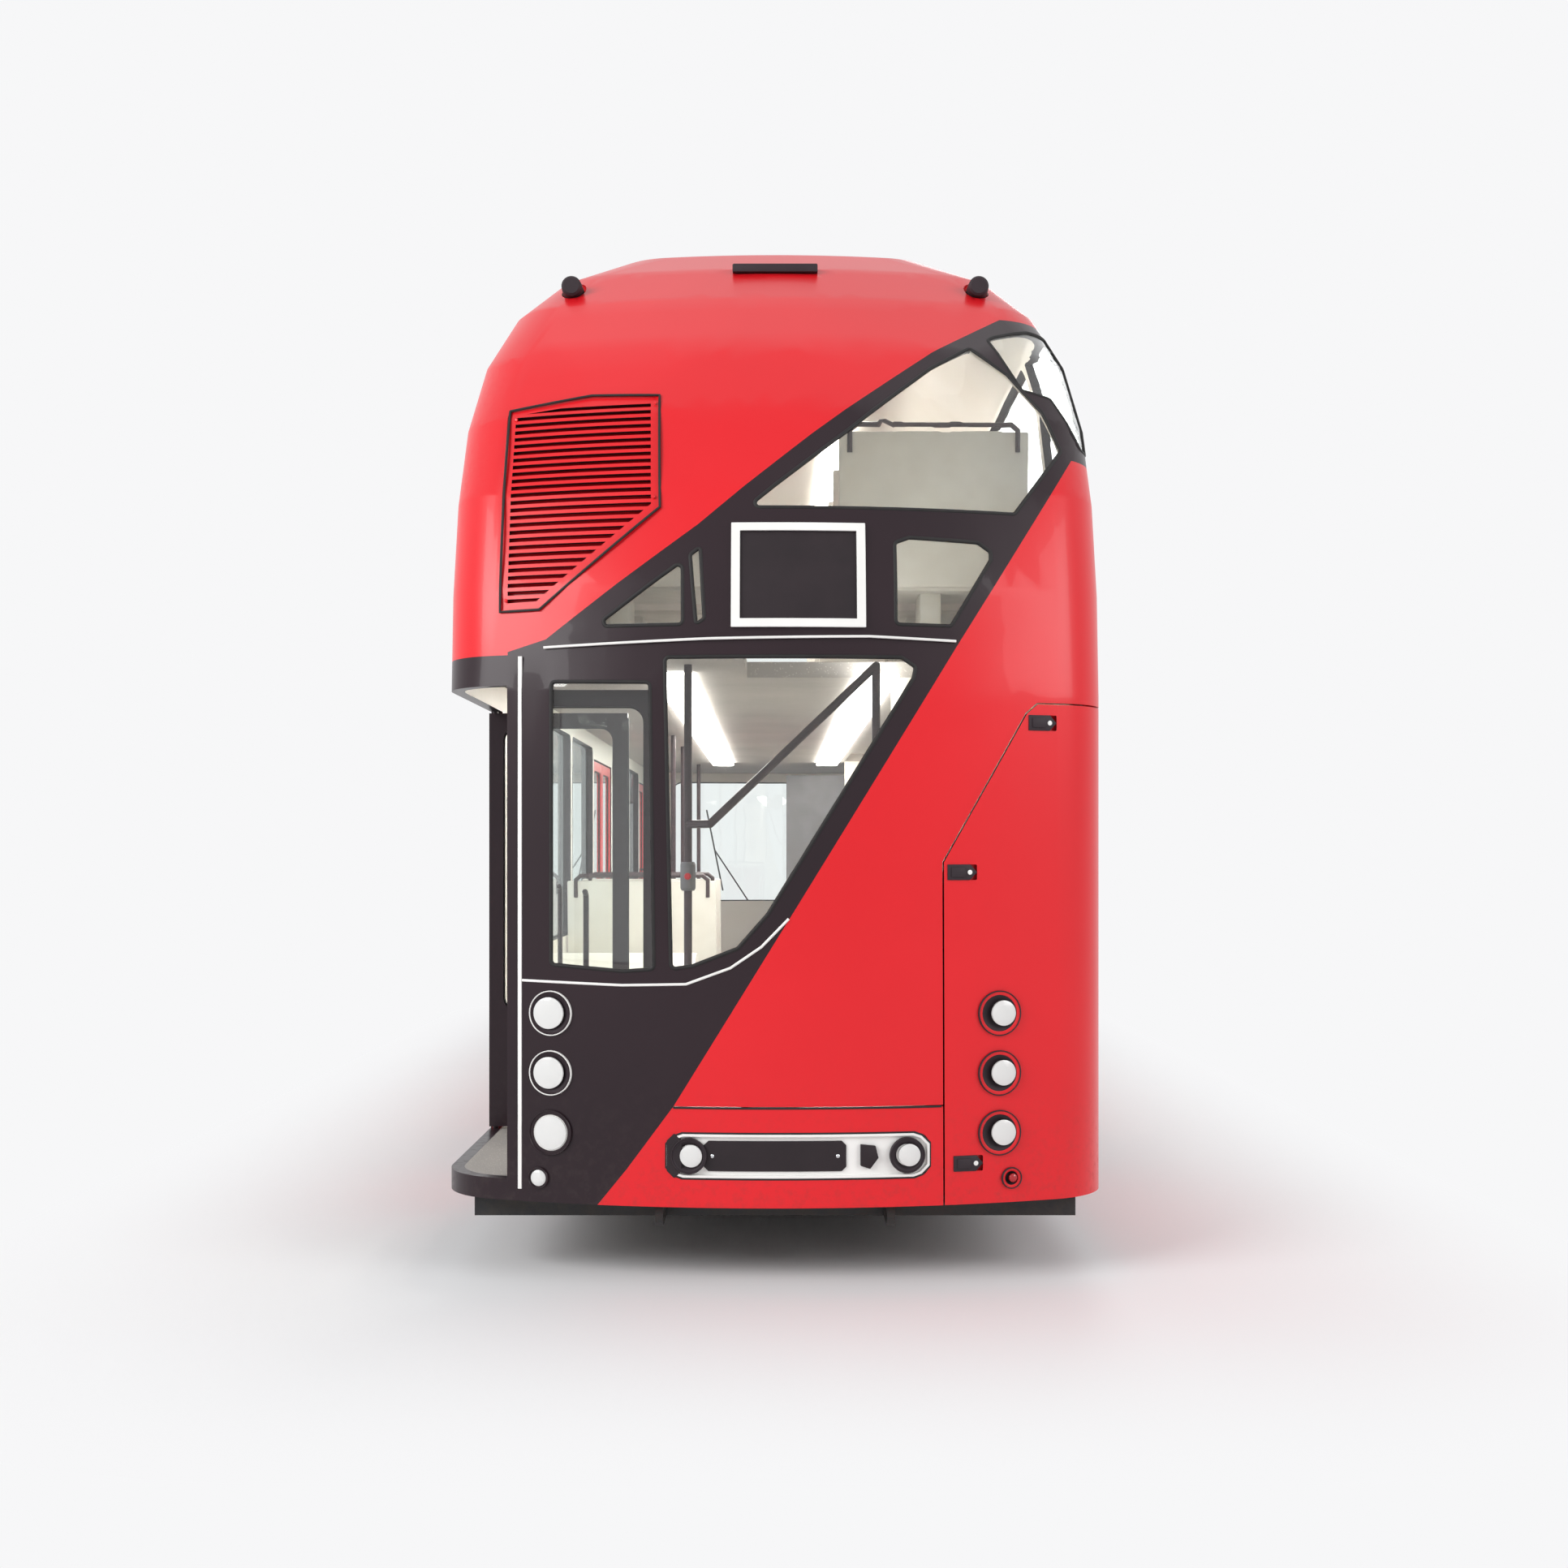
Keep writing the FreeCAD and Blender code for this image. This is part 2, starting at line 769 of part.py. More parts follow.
def build_seats():
    seat_x = inner_x - seat_wall_gap - seat_width / 2
    upper_x = seat_x - wall
    benches = []
    well_rear = front_well_y - seat_back_lean
    y = rear_stair_top_y + seat_back_thickness * 2 + seat_back_lean
    while y + seat_depth < front_y - front_lean / 2:
        benches.append(seat(-upper_x, y, upper_floor_top, seat_width))
        beside_well = y + seat_depth > well_rear and y - seat_back_thickness * 3 < front_stair_top_y
        if not beside_well:
            benches.append(seat(upper_x, y, upper_floor_top, seat_width))
        y += upper_seat_pitch
    y = rear_axle_y + rear_arch_radius + liner_thickness + seat_back_thickness * 3
    while y + seat_depth < centre_door_y + doorway_width:
        benches.append(seat(seat_x, y, floor_top, seat_width))
        if y + seat_depth < centre_door_y - wall:
            benches.append(seat(-seat_x, y, floor_top, seat_width))
        y += upper_seat_pitch
    benches.append(seat(half_width / 2, driver_seat_y, floor_top, driver_seat_width))
    return group(benches)


def hoop(x, y0, y1, z, height):
    """A rail along the bus on two posts, standing on z."""
    posts = [rod(V(x, y, z), V(x, y, z + height), rail_radius) for y in (y0, y1)]
    reach = rail_radius * 2
    bar = rod(V(x, y0 - reach, z + height), V(x, y1 + reach, z + height), rail_radius)
    return joined(posts + [bar])


def build_rails():
    edge = rail_radius * 2
    rear_x = stair_first_x + tread - edge
    front_x = front_stair_x - edge
    rails = [
        hoop(rear_x, rear_rail_y, rear_stair_top_y - tread, upper_floor_top, rail_post_height),
        hoop(front_x, front_well_y, front_stair_top_y - tread, upper_floor_top, rail_post_height),
    ]
    poles = [(platform_pole_x, platform_pole_y)]
    for y in (centre_door_y, centre_door_y + doorway_width, front_door_y):
        poles.append((door_pole_x, y))
    for x, y in poles:
        rails.append(rod(V(x, y, floor_top), V(x, y, upper_floor_low), rail_radius))
    return group(rails)


def build_stair_rail():
    """The rear stair's handrail: level from the platform's pole, then up to a post on a step."""
    y = rear_stair_y - 2 * rail_radius
    post_x = turn_x - tread / 2
    pole_low = V(platform_pole_x, platform_pole_y, stair_rail_low)
    bend = V(stair_rail_bend_x, y, stair_rail_low)
    head = V(post_x, y, stair_rail_high)
    pieces = [rod(pole_low, bend, rail_radius), rod(bend, head, rail_radius)]
    pieces.append(rod(V(post_x, y, landing_z - rise), head, rail_radius))
    pieces += [Part.Solid(Part.makeSphere(rail_radius, point)) for point in (bend, head)]
    pole = V(platform_pole_x, platform_pole_y, floor_top)
    return joined(pieces).cut(rod(pole, pole + V(0, 0, upper_floor_low), rail_radius))


# Wheels, axles and underframe


def ring(profile, x, y):
    """A turned part: profile of (distance along the axle, radius) points, spun about the axle."""
    face = outline_face(profile, 0, lambda p: V(x + p.x, y, tyre_radius + p.y))
    return face.revolve(V(x, y, tyre_radius), V(1, 0, 0), 360)


def tyre(x, y):
    """A tyre whose tread, shoulders and bulged walls are rings of flats round a true cylinder."""
    half = tyre_width / 2
    bead = half - tyre_shoulder
    flank = tyre_radius - tyre_shoulder
    foot = bead_radius - rim_thickness
    wall_middle = (bead_radius + flank) / 2
    right = [
        (bead, tyre_radius),
        (half - tyre_crown_drop, flank),
        (half, wall_middle),
        (bead, bead_radius + rim_lip),
        (bead, foot),
    ]
    profile = right + [(-along, radius) for along, radius in reversed(right)]
    turn = 2 * math.pi / tyre_side_count
    rings = []
    for i in range(tyre_side_count + 1):
        angle = (i + 0.5) * turn
        way = V(0, math.sin(angle), math.cos(angle)) / math.cos(turn / 2)
        centre = V(x, y, tyre_radius)
        rings.append([centre + V(along, 0, 0) + way * radius for along, radius in profile])
    faces = []
    for near, next_ring in zip(rings, rings[1:]):
        for j in range(len(profile)):
            corners = [near[j - 1], near[j], next_ring[j], next_ring[j - 1], near[j - 1]]
            faces.append(Part.Face(Part.makePolygon(corners)))
    shell = Part.Shell(faces)
    shell.sewShape()
    form = Part.Solid(shell)
    form = form if form.Volume > 0 else form.reversed()
    bore = rod(V(x - half, y, tyre_radius), V(x + half, y, tyre_radius), bead_radius)
    return form.cut(bore).removeSplitter()


def barrel(x, y):
    """The cylinder that a tyre sits on, a little wider than the tyre's foot."""
    edge = tyre_width / 2 - tyre_shoulder + rim_lip
    inner = bead_radius - rim_thickness
    profile = [(-edge, inner), (-edge, bead_radius), (edge, bead_radius), (edge, inner)]
    return ring(profile, x, y)


def hand_holes(x0, x1, y):
    """Round holes through a wheel's disc, evenly spaced about the axle."""
    tools = []
    for i in range(hand_hole_count):
        angle = 2 * math.pi * i / hand_hole_count
        across = V(0, hand_hole_circle * math.cos(angle), hand_hole_circle * math.sin(angle))
        place = across + V(0, y, tyre_radius)
        tools.append(rod(place + V(x0, 0, 0), place + V(x1, 0, 0), hand_hole_radius))
    return tools


def front_rim(side, y):
    """A single wheel: its disc bulges outwards, and a capped hub runs on the stub."""
    inner = bead_radius - rim_thickness
    plate = hub_face
    disc = [
        (plate - disc_thickness, hub_radius - rim_thickness),
        (plate, hub_radius - rim_thickness),
        (plate, disc_shoulder_radius),
        (plate - disc_drop, inner + rim_thickness / 2),
        (plate - disc_drop - disc_thickness, inner + rim_thickness / 2),
        (plate - disc_thickness, disc_shoulder_radius - disc_thickness / 2),
    ]
    bore = stub_radius + running_clearance
    back = plate_x + plate_thickness + yoke_gap - front_wheel_x
    hub = [
        (back, bore),
        (back, hub_radius),
        (plate, hub_radius),
        (plate + cap_length, hub_radius - rim_thickness * 2),
        (plate + cap_length, 0),
        (plate, 0),
        (plate, bore),
    ]
    whole = joined([barrel(0, 0), ring(disc, 0, 0), ring(hub, 0, 0)])
    whole = whole.cut(hand_holes(0, hub_face, 0))
    if side < 0:
        whole = mirrored(whole)
    whole.translate(V(side * front_wheel_x, y, 0))
    return whole


def rear_rim(side, y):
    """Twin wheels on one hub, their discs back to back between them."""
    middle = (rear_outer_wheel_x + rear_inner_wheel_x) / 2
    half = rear_outer_wheel_x - middle
    inner = bead_radius - rim_thickness
    foot = half - tyre_width / 2 + tyre_shoulder
    shoulder_r = disc_shoulder_radius
    discs = [
        (-disc_thickness, hub_radius - rim_thickness),
        (disc_thickness, hub_radius - rim_thickness),
        (foot + disc_thickness, inner + rim_thickness / 2),
        (foot, inner + rim_thickness / 2),
        (0, shoulder_r),
        (-foot, inner + rim_thickness / 2),
        (-foot - disc_thickness, inner + rim_thickness / 2),
    ]
    bore = stub_radius + running_clearance
    back = portal_x + portal_width / 2 + drum_length + yoke_gap - middle
    hub = [
        (back, bore),
        (back, hub_radius),
        (disc_thickness, hub_radius),
        (cap_length * 2, hub_radius - rim_thickness * 2),
        (cap_length * 2, 0),
        (disc_thickness, 0),
        (disc_thickness, bore),
    ]
    pieces = [barrel(-half, 0), barrel(half, 0), ring(discs, 0, 0), ring(hub, 0, 0)]
    whole = joined(pieces).cut(hand_holes(-half, half, 0))
    if side < 0:
        whole = mirrored(whole)
    whole.translate(V(side * middle, y, 0))
    return whole


def build_knuckle(side):
    """A yoke over and under the axle's eye, its kingpin, the brake plate and the wheel's stub."""
    y = front_axle_y
    pin_half = eye_height / 2 + yoke_gap + yoke_thickness
    low = V(kingpin_x, y, tyre_radius - pin_half)
    pieces = [rod(low, V(kingpin_x, y, tyre_radius + pin_half), kingpin_radius)]
    for way in (-1, 1):
        near = tyre_radius + way * (eye_height / 2 + yoke_gap)
        arm_end = tyre_radius + way * pin_half
        pieces.append(rod(V(kingpin_x, y, near), V(kingpin_x, y, arm_end), eye_radius))
        pieces.append(block(kingpin_x, plate_x, y - eye_radius, y + eye_radius, near, arm_end))
    axle = V(plate_x, y, tyre_radius)
    pieces.append(rod(axle, axle + V(plate_thickness, 0, 0), plate_radius))
    stub_end = V(front_wheel_x + hub_face - yoke_gap, y, tyre_radius)
    pieces.append(rod(axle, stub_end, stub_radius))
    whole = joined(pieces)
    return whole if side > 0 else mirrored(whole)


def axle_arms(y, z):
    """Short links from an axle to the rails' ends, one pair each way."""
    arms = []
    for side in (-1, 1):
        x0 = side * (rail_x - rail_width / 2)
        x1 = side * (rail_x + rail_width / 2)
        arms.append(block(x0, x1, y - rail_axle_clearance, y + rail_axle_clearance, z, z + arm_height))
    return arms


def build_front_axle():
    y = front_axle_y
    upright_in = upright_x - beam_height / 2
    upright_out = upright_x + beam_height / 2
    depth = beam_depth / 2
    pieces = [block(-upright_out, upright_out, y - depth, y + depth, beam_low, beam_low + beam_height)]
    top = tyre_radius + eye_height / 2
    bottom = tyre_radius - eye_height / 2
    eye_bore = []
    for side in (-1, 1):
        x0 = side * upright_in
        pieces.append(block(x0, side * upright_out, y - depth, y + depth, beam_low, top))
        pieces.append(block(x0, side * kingpin_x, y - eye_radius, y + eye_radius, bottom, top))
        pin_low = V(side * kingpin_x, y, bottom)
        pieces.append(rod(pin_low, V(side * kingpin_x, y, top), eye_radius))
        up = V(0, 0, overrun)
        bore = kingpin_radius + running_clearance
        eye_bore.append(rod(pin_low - up, pin_low + up + V(0, 0, eye_height), bore))
    pieces += axle_arms(y, beam_low + beam_height / 2)
    return joined(pieces).cut(eye_bore)


def build_rear_axle():
    """Low tube with its drive housing, a portal case up to each hub, drums and stubs."""
    y = rear_axle_y
    inner = portal_x - portal_width / 2
    outer = portal_x + portal_width / 2
    tube = rod(V(-portal_x, y, axle_tube_z), V(portal_x, y, axle_tube_z), axle_tube_radius)
    drive = rod(
        V(-differential_width / 2, y, axle_tube_z),
        V(differential_width / 2, y, axle_tube_z),
        differential_radius,
    )
    pieces = [tube, drive]
    half = portal_depth / 2
    outline = [
        (y - half, axle_tube_z - axle_tube_radius),
        (y + half, axle_tube_z - axle_tube_radius),
        (y + half, tyre_radius + half),
        (y - half, tyre_radius + half),
    ]
    stub_end = (rear_outer_wheel_x + rear_inner_wheel_x) / 2 + disc_thickness - yoke_gap
    for side in (-1, 1):
        x0, x1 = sorted((side * inner, side * outer))
        pieces.append(prism_x(outline, x0, x1, half / 2))
        hub_start = V(side * portal_x, y, tyre_radius)
        pieces.append(rod(hub_start, V(side * (outer + drum_length), y, tyre_radius), plate_radius))
        pieces.append(rod(hub_start, V(side * stub_end, y, tyre_radius), stub_radius))
    pieces += axle_arms(y, axle_tube_z - arm_height / 2)
    return joined(pieces)


def build_underframe():
    top = floor_low
    low = top - rail_height
    ends = [
        (rear_y + rail_end, rear_axle_y - rail_axle_clearance),
        (rear_axle_y + rail_axle_clearance, front_axle_y - rail_axle_clearance),
        (front_axle_y + rail_axle_clearance, front_y - rail_end),
    ]
    pieces = []
    for y0, y1 in ends:
        frame = []
        for side in (-1, 1):
            x0 = side * (rail_x - rail_width / 2)
            frame.append(block(x0, side * (rail_x + rail_width / 2), y0, y1, low, top))
        count = max(2, round((y1 - y0) / member_pitch) + 1)
        for i in range(count):
            y = y0 + i * (y1 - y0 - rail_width) / (count - 1)
            wide = outrigger_reach
            for axle_y, radius in ((rear_axle_y, rear_arch_radius), (front_axle_y, front_arch_radius)):
                if abs(y + rail_width / 2 - axle_y) < radius + liner_thickness + rail_width:
                    wide = rail_x
            frame.append(block(-wide, wide, y, y + rail_width, low, top))
        pieces.append(joined(frame))
    for end in (-1, 1):
        for side in (-1, 1):
            pieces.append(tow_eye(side, end))
    return group([joined(pieces)])


def tow_eye(side, end):
    """A plate with a hole, out from the end of a rail."""
    start = end * (front_y - rail_end)
    tip = start + end * tow_eye_reach
    middle = floor_low - rail_height / 2
    x0 = side * rail_x - tow_eye_thickness / 2
    x1 = side * rail_x + tow_eye_thickness / 2
    half = tow_eye_width / 2
    plate = block(x0, x1, start, tip, middle - half, middle + half)
    round_end = rod(V(x0, tip, middle), V(x1, tip, middle), half)
    hole = rod(V(x0 - overrun, tip, middle), V(x1 + overrun, tip, middle), tow_eye_radius)
    return joined([plate, round_end]).cut(hole)


# Doors


def door_leaf(length, glass):
    """A leaf standing on its axis at the origin and running along Y, or its window pane."""
    low = floor_top + leaf_gap
    high = door_top - leaf_gap
    start = leaf_end_gap - leaf_axis
    end = start + length
    corners = [(start, low), (end, low), (end, high), (start, high)]
    pane = [
        (start + leaf_stile, leaf_glass_low),
        (end - leaf_stile, leaf_glass_low),
        (end - leaf_stile, high - leaf_stile),
        (start + leaf_stile, high - leaf_stile),
    ]
    half = leaf_thickness / 2
    if glass:
        return prism_x(pane, -leaf_glass_thickness / 2, leaf_glass_thickness / 2, pane_radius)
    opening = prism_x(pane, -leaf_thickness, leaf_thickness, pane_radius)
    leaf = prism_x(corners, -half, half).cut(opening)
    pins = [
        rod(V(0, 0, floor_top - leaf_pin_length), V(0, 0, low + half), leaf_pin_radius),
        rod(V(0, 0, high - half), V(0, 0, door_top + leaf_pin_length), leaf_pin_radius),
    ]
    return joined([leaf] + pins)


def leaf_places():
    """Each leaf's name, hinge x and y, length, and its turn from running along Y."""
    length = (doorway_width - leaf_meeting_gap) / 2 - leaf_end_gap
    places = []
    for door, y in (("centre", centre_door_y), ("front", front_door_y)):
        places.append((door + "_rear", leaf_x, y + leaf_axis, length, 0))
        places.append((door + "_front", leaf_x, y + doorway_width - leaf_axis, length, 180))
    places.append(("platform_front", leaf_x, rear_zone_y - leaf_axis, length, -90))
    places.append(("platform_rear", platform_hinge_x, platform_hinge_y, platform_leaf_length, -90))
    return places


def leaf_holes():
    """Bearing holes for the leaves' pins, in the sills below and the headers above."""
    radius = leaf_pin_radius + running_clearance
    tools = []
    for name, x, y, length, turn in leaf_places():
        low = floor_top - leaf_pin_length - leaf_gap
        high = door_top + leaf_pin_length + leaf_gap
        tools.append(rod(V(x, y, low), V(x, y, floor_top + leaf_gap), radius))
        tools.append(rod(V(x, y, door_top - leaf_gap), V(x, y, high), radius))
    return tools


def platform_bracket(inside):
    """A lug inside the platform's post that holds the top pin of the leaf there."""
    half = platform_bracket_width / 2
    x = platform_hinge_x
    front = platform_hinge_y + half
    top = door_top + platform_bracket_height
    return block(x - half, x + half, rear_y, front, door_top, top).common(inside)


def placed_leaf(x, y, length, turn, glass):
    piece = door_leaf(length, glass)
    piece.rotate(V(0, 0, 0), V(0, 0, 1), turn)
    piece.translate(V(x, y, 0))
    return piece


def engine_door_outline():
    """Seam of the engine's door on the tail, seen from behind."""
    corners = [(engine_door_x, under)] + tail_points(engine_door_shares)
    return corners + [(far, engine_door_top), (far, under)]


def engine_door_tool(gap):
    """What the engine's door takes out of the tail; the door itself is smaller by a gap."""
    outline = outline_face(engine_door_outline(), sharp_radius, lambda p: V(p.x, p.y, 0))
    if gap > 0:
        outline = outline.makeOffset2D(-gap)
    outline.rotate(V(0, 0, 0), V(1, 0, 0), 90)
    outline.translate(V(0, rear_y - overrun, 0))
    return outline.extrude(V(0, engine_door_front_y - gap - rear_y + overrun, 0))


def hinge_parts(moving):
    """Barrels of the engine door's hinges: the outer two and the pin stay, the middle turns."""
    pieces = []
    third = hinge_barrel / 3
    x = half_width
    y = engine_door_front_y
    for z in (hinge_low, hinge_high):
        if moving:
            low = V(x, y, z + third + hinge_gap)
            barrel_piece = rod(low, V(x, y, z + 2 * third - hinge_gap), hinge_radius)
            strap = block(x - wall / 2, x, y - hinge_radius * 3, y, low.z, z + 2 * third - hinge_gap)
            bore = rod(V(x, y, z), V(x, y, z + hinge_barrel), hinge_pin_radius + running_clearance)
            pieces.append((joined([barrel_piece, strap]), bore))
        else:
            pin = rod(V(x, y, z), V(x, y, z + hinge_barrel), hinge_pin_radius)
            knuckles = [pin]
            for low in (z, z + 2 * third):
                knuckles.append(rod(V(x, y, low), V(x, y, low + third), hinge_radius))
                knuckles.append(block(x - wall / 2, x, y, y + hinge_radius * 3, low, low + third))
            pieces.append(joined(knuckles))
    return pieces


# Fittings on the tail and nose

def rectangle(x, z, width, height):
    half = width / 2
    rise_half = height / 2
    return [
        (x - half, z - rise_half),
        (x + half, z - rise_half),
        (x + half, z + rise_half),
        (x - half, z + rise_half),
    ]


def tail_prism(points, radius):
    return prism_y(points, rear_y - overrun, rear_zone_y, radius)


def nose_prism(points, radius):
    return prism_y(points, front_zone_y, front_y + overrun, radius)


def lamp(x, z, end, radius, lens):
    """A round lamp square to the skin: a case let into the panel and a lens standing out."""
    point, outward = skin_point(x, z, end)
    case = rod(point - outward * lamp_depth, point + outward * lamp_proud / 2, radius)
    if lens == 0:
        return case
    base = point + outward * lamp_proud / 2
    return joined([case, Part.makeCone(lens, lens - lamp_proud / 2, lamp_proud / 2, base, outward)])


def tail_lamps(side):
    """Three round lamps in a column and a small one under them, on one side of the tail."""
    lamps = []
    for i in range(lamp_count):
        lamps.append(lamp(side * lamp_x, lamp_top_z - i * lamp_pitch, -1, bezel_radius, lens_radius))
    lamps.append(lamp(side * small_lamp_x, small_lamp_z, -1, small_lamp_radius, 0))
    return lamps


def tray_prism(rim):
    width = plate_tray_width - 2 * rim
    height = plate_tray_height - 2 * rim
    return tail_prism(rectangle(plate_tray_x, plate_tray_z, width, height), seam_radius)


def plate_tray():
    outer = tray_prism(0)
    inner = tray_prism(plate_tray_rim)
    plate = tail_prism(rectangle(0, plate_tray_z, plate_width, plate_height), sharp_radius)
    face = plate_tray_depth / 2
    tray = skin(outer, 0, plate_tray_depth).cut(skin(inner, 0, face))
    return joined([tray, skin(plate, face - plate_proud, plate_proud)])


def tray_lamps():
    radius = plate_tray_height / 2 - plate_tray_rim - plate_proud
    reach = plate_tray_width / 2 - plate_tray_rim - radius - plate_proud
    return [lamp(plate_tray_x + way * reach, plate_tray_z, -1, radius, 0) for way in (-1, 1)]


def route_box(x, width, low, high, prism):
    """A blank route box: a rim standing out round a face set back behind it."""
    middle = (low + high) / 2
    outer = prism(rectangle(x, middle, width, high - low), seam_radius / 2)
    width -= 2 * route_box_rim
    inner = prism(rectangle(x, middle, width, high - low - 2 * route_box_rim), sharp_radius)
    rim_piece = skin(outer, -route_box_proud, route_box_depth)
    return outer, rim_piece.cut(skin(inner, -route_box_proud, 2 * route_box_proud))


def build_grille():
    """Level slats over a closed back, in one frame that fills its place in the dome."""
    outline = tail_points(grille_shares)
    outer = tail_prism(outline, seam_radius)
    inside = outline_face(outline, seam_radius, lambda p: V(p.x, p.y, 0)).makeOffset2D(-grille_rim)
    inside.rotate(V(0, 0, 0), V(1, 0, 0), 90)
    inside.translate(V(0, rear_y - overrun, 0))
    inside = inside.extrude(V(0, rear_zone_y - rear_y + overrun, 0))
    body = skin(outer, grille_recess, grille_depth)
    z = min(point[1] for point in outline) + grille_rim
    top = max(point[1] for point in outline) - grille_rim
    slots = []
    while z + slot_height < top:
        slots.append(lengthwise(rear_y - overrun, rear_zone_y, z, z + slot_height))
        z += slat_pitch
    open_part = skin(inside, grille_recess, grille_depth - grille_back)
    return outer, body.cut(open_part.common(group(slots)))


def latch(x, z):
    tool = tail_prism(rectangle(x, z, latch_width, latch_height), sharp_radius)
    return skin(tool, -latch_proud, latch_depth + latch_proud)


def roof_lamps():
    """Two marker lamps standing out of the dome and a wide slot lamp between them."""
    pieces = []
    reach = V(0, roof_lamp_length, 0)
    for side in (-1, 1):
        point = skin_point(side * roof_lamp_x, roof_lamp_z, -1)[0]
        pieces.append(rod(point - reach, point + reach, roof_lamp_radius))
    slot = tail_prism(rectangle(0, roof_slot_z, roof_slot_width, roof_slot_height), sharp_radius)
    pieces.append(skin(slot, -roof_slot_proud, roof_slot_proud * 3))
    return pieces


def front_lamps(side):
    lamps = [lamp(side * headlamp_x, headlamp_z, 1, headlamp_radius, headlamp_radius - lamp_proud)]
    inner_lens = inner_headlamp_radius - lamp_proud
    lamps.append(lamp(side * inner_headlamp_x, headlamp_z, 1, inner_headlamp_radius, inner_lens))
    lamps.append(lamp(side * headlamp_x, indicator_z, 1, indicator_radius, 0))
    return lamps


def build_mirror(side):
    """An arm out from the nose's corner and a head hanging from it."""
    root = skin_point(side * (half_width - corner_radius), mirror_z, 1)[0]
    root = root - V(0, wall / 2, 0)
    elbow = V(side * mirror_x, mirror_y + mirror_depth, mirror_z)
    head = rectangle(side * mirror_x, mirror_z - mirror_height / 2, mirror_width, mirror_height)
    housing = prism_y(head, mirror_y, mirror_y + mirror_depth, mirror_radius)
    knee = V(side * mirror_x, mirror_y + mirror_depth / 2, mirror_z)
    bend = V(side * mirror_x, root.y + mirror_depth, mirror_z + mirror_arm_radius)
    arm = [rod(root, bend, mirror_arm_radius), rod(bend, knee, mirror_arm_radius)]
    return joined([housing, Part.Solid(Part.makeSphere(mirror_arm_radius, bend))] + arm)


# Cab and engine


def build_cab(inside):
    """The driver's dashboard and the partition behind the seat, the steering wheel on its column."""
    dash = block(0, far, dash_y, front_y, floor_top, dash_top)
    hollow = block(dash_wall, far, dash_y + dash_wall, front_y, floor_top, dash_top)
    shelf = block(0, far, dash_y - dash_overhang, front_y, dash_top, dash_top + dash_wall)
    desk = joined([dash.cut(hollow), shelf]).common(inside)
    partition = block(cab_edge_x, far, cab_wall_y, cab_wall_y + wall, floor_top, cab_wall_top)

    thick = V(0, 0, steering_rim_radius)
    across = V(steering_wheel_radius - steering_rim_radius, 0, 0)
    hole_radius = steering_wheel_radius - 2 * steering_rim_radius
    wheel = rod(-thick, thick, steering_wheel_radius).cut(rod(thick * -2, thick * 2, hole_radius))
    spoke = rod(-across, across, steering_rim_radius / 2)
    column = rod(V(0, 0, 0), V(0, 0, -steering_column_length), steering_column_radius)
    wheel = joined([wheel, spoke, column])
    wheel.rotate(V(0, 0, 0), V(1, 0, 0), steering_tilt)
    wheel.translate(V(half_width / 2, dash_y - steering_wheel_back, steering_wheel_z))
    wheel = wheel.cut(lengthwise(rear_y, front_y, -overall_height, floor_top))
    return group([joined([desk, wheel]), partition.common(inside)])


def build_engine(inside):
    half = engine_width / 2
    y0 = engine_y - engine_length / 2
    y1 = engine_y + engine_length / 2
    engine = block(engine_x - half, engine_x + half, y0, y1, floor_top, floor_top + engine_height)
    clear = housing_clearance
    thick = housing_thickness
    x0 = engine_x - half - clear
    outer = block(x0 - thick, far, rear_y, y1 + clear + thick, floor_top, landing_z - stair_slab)
    hollow = block(x0, far, rear_y, y1 + clear, floor_top, landing_z - stair_slab - thick)
    return engine, outer.common(inside).cut(hollow)


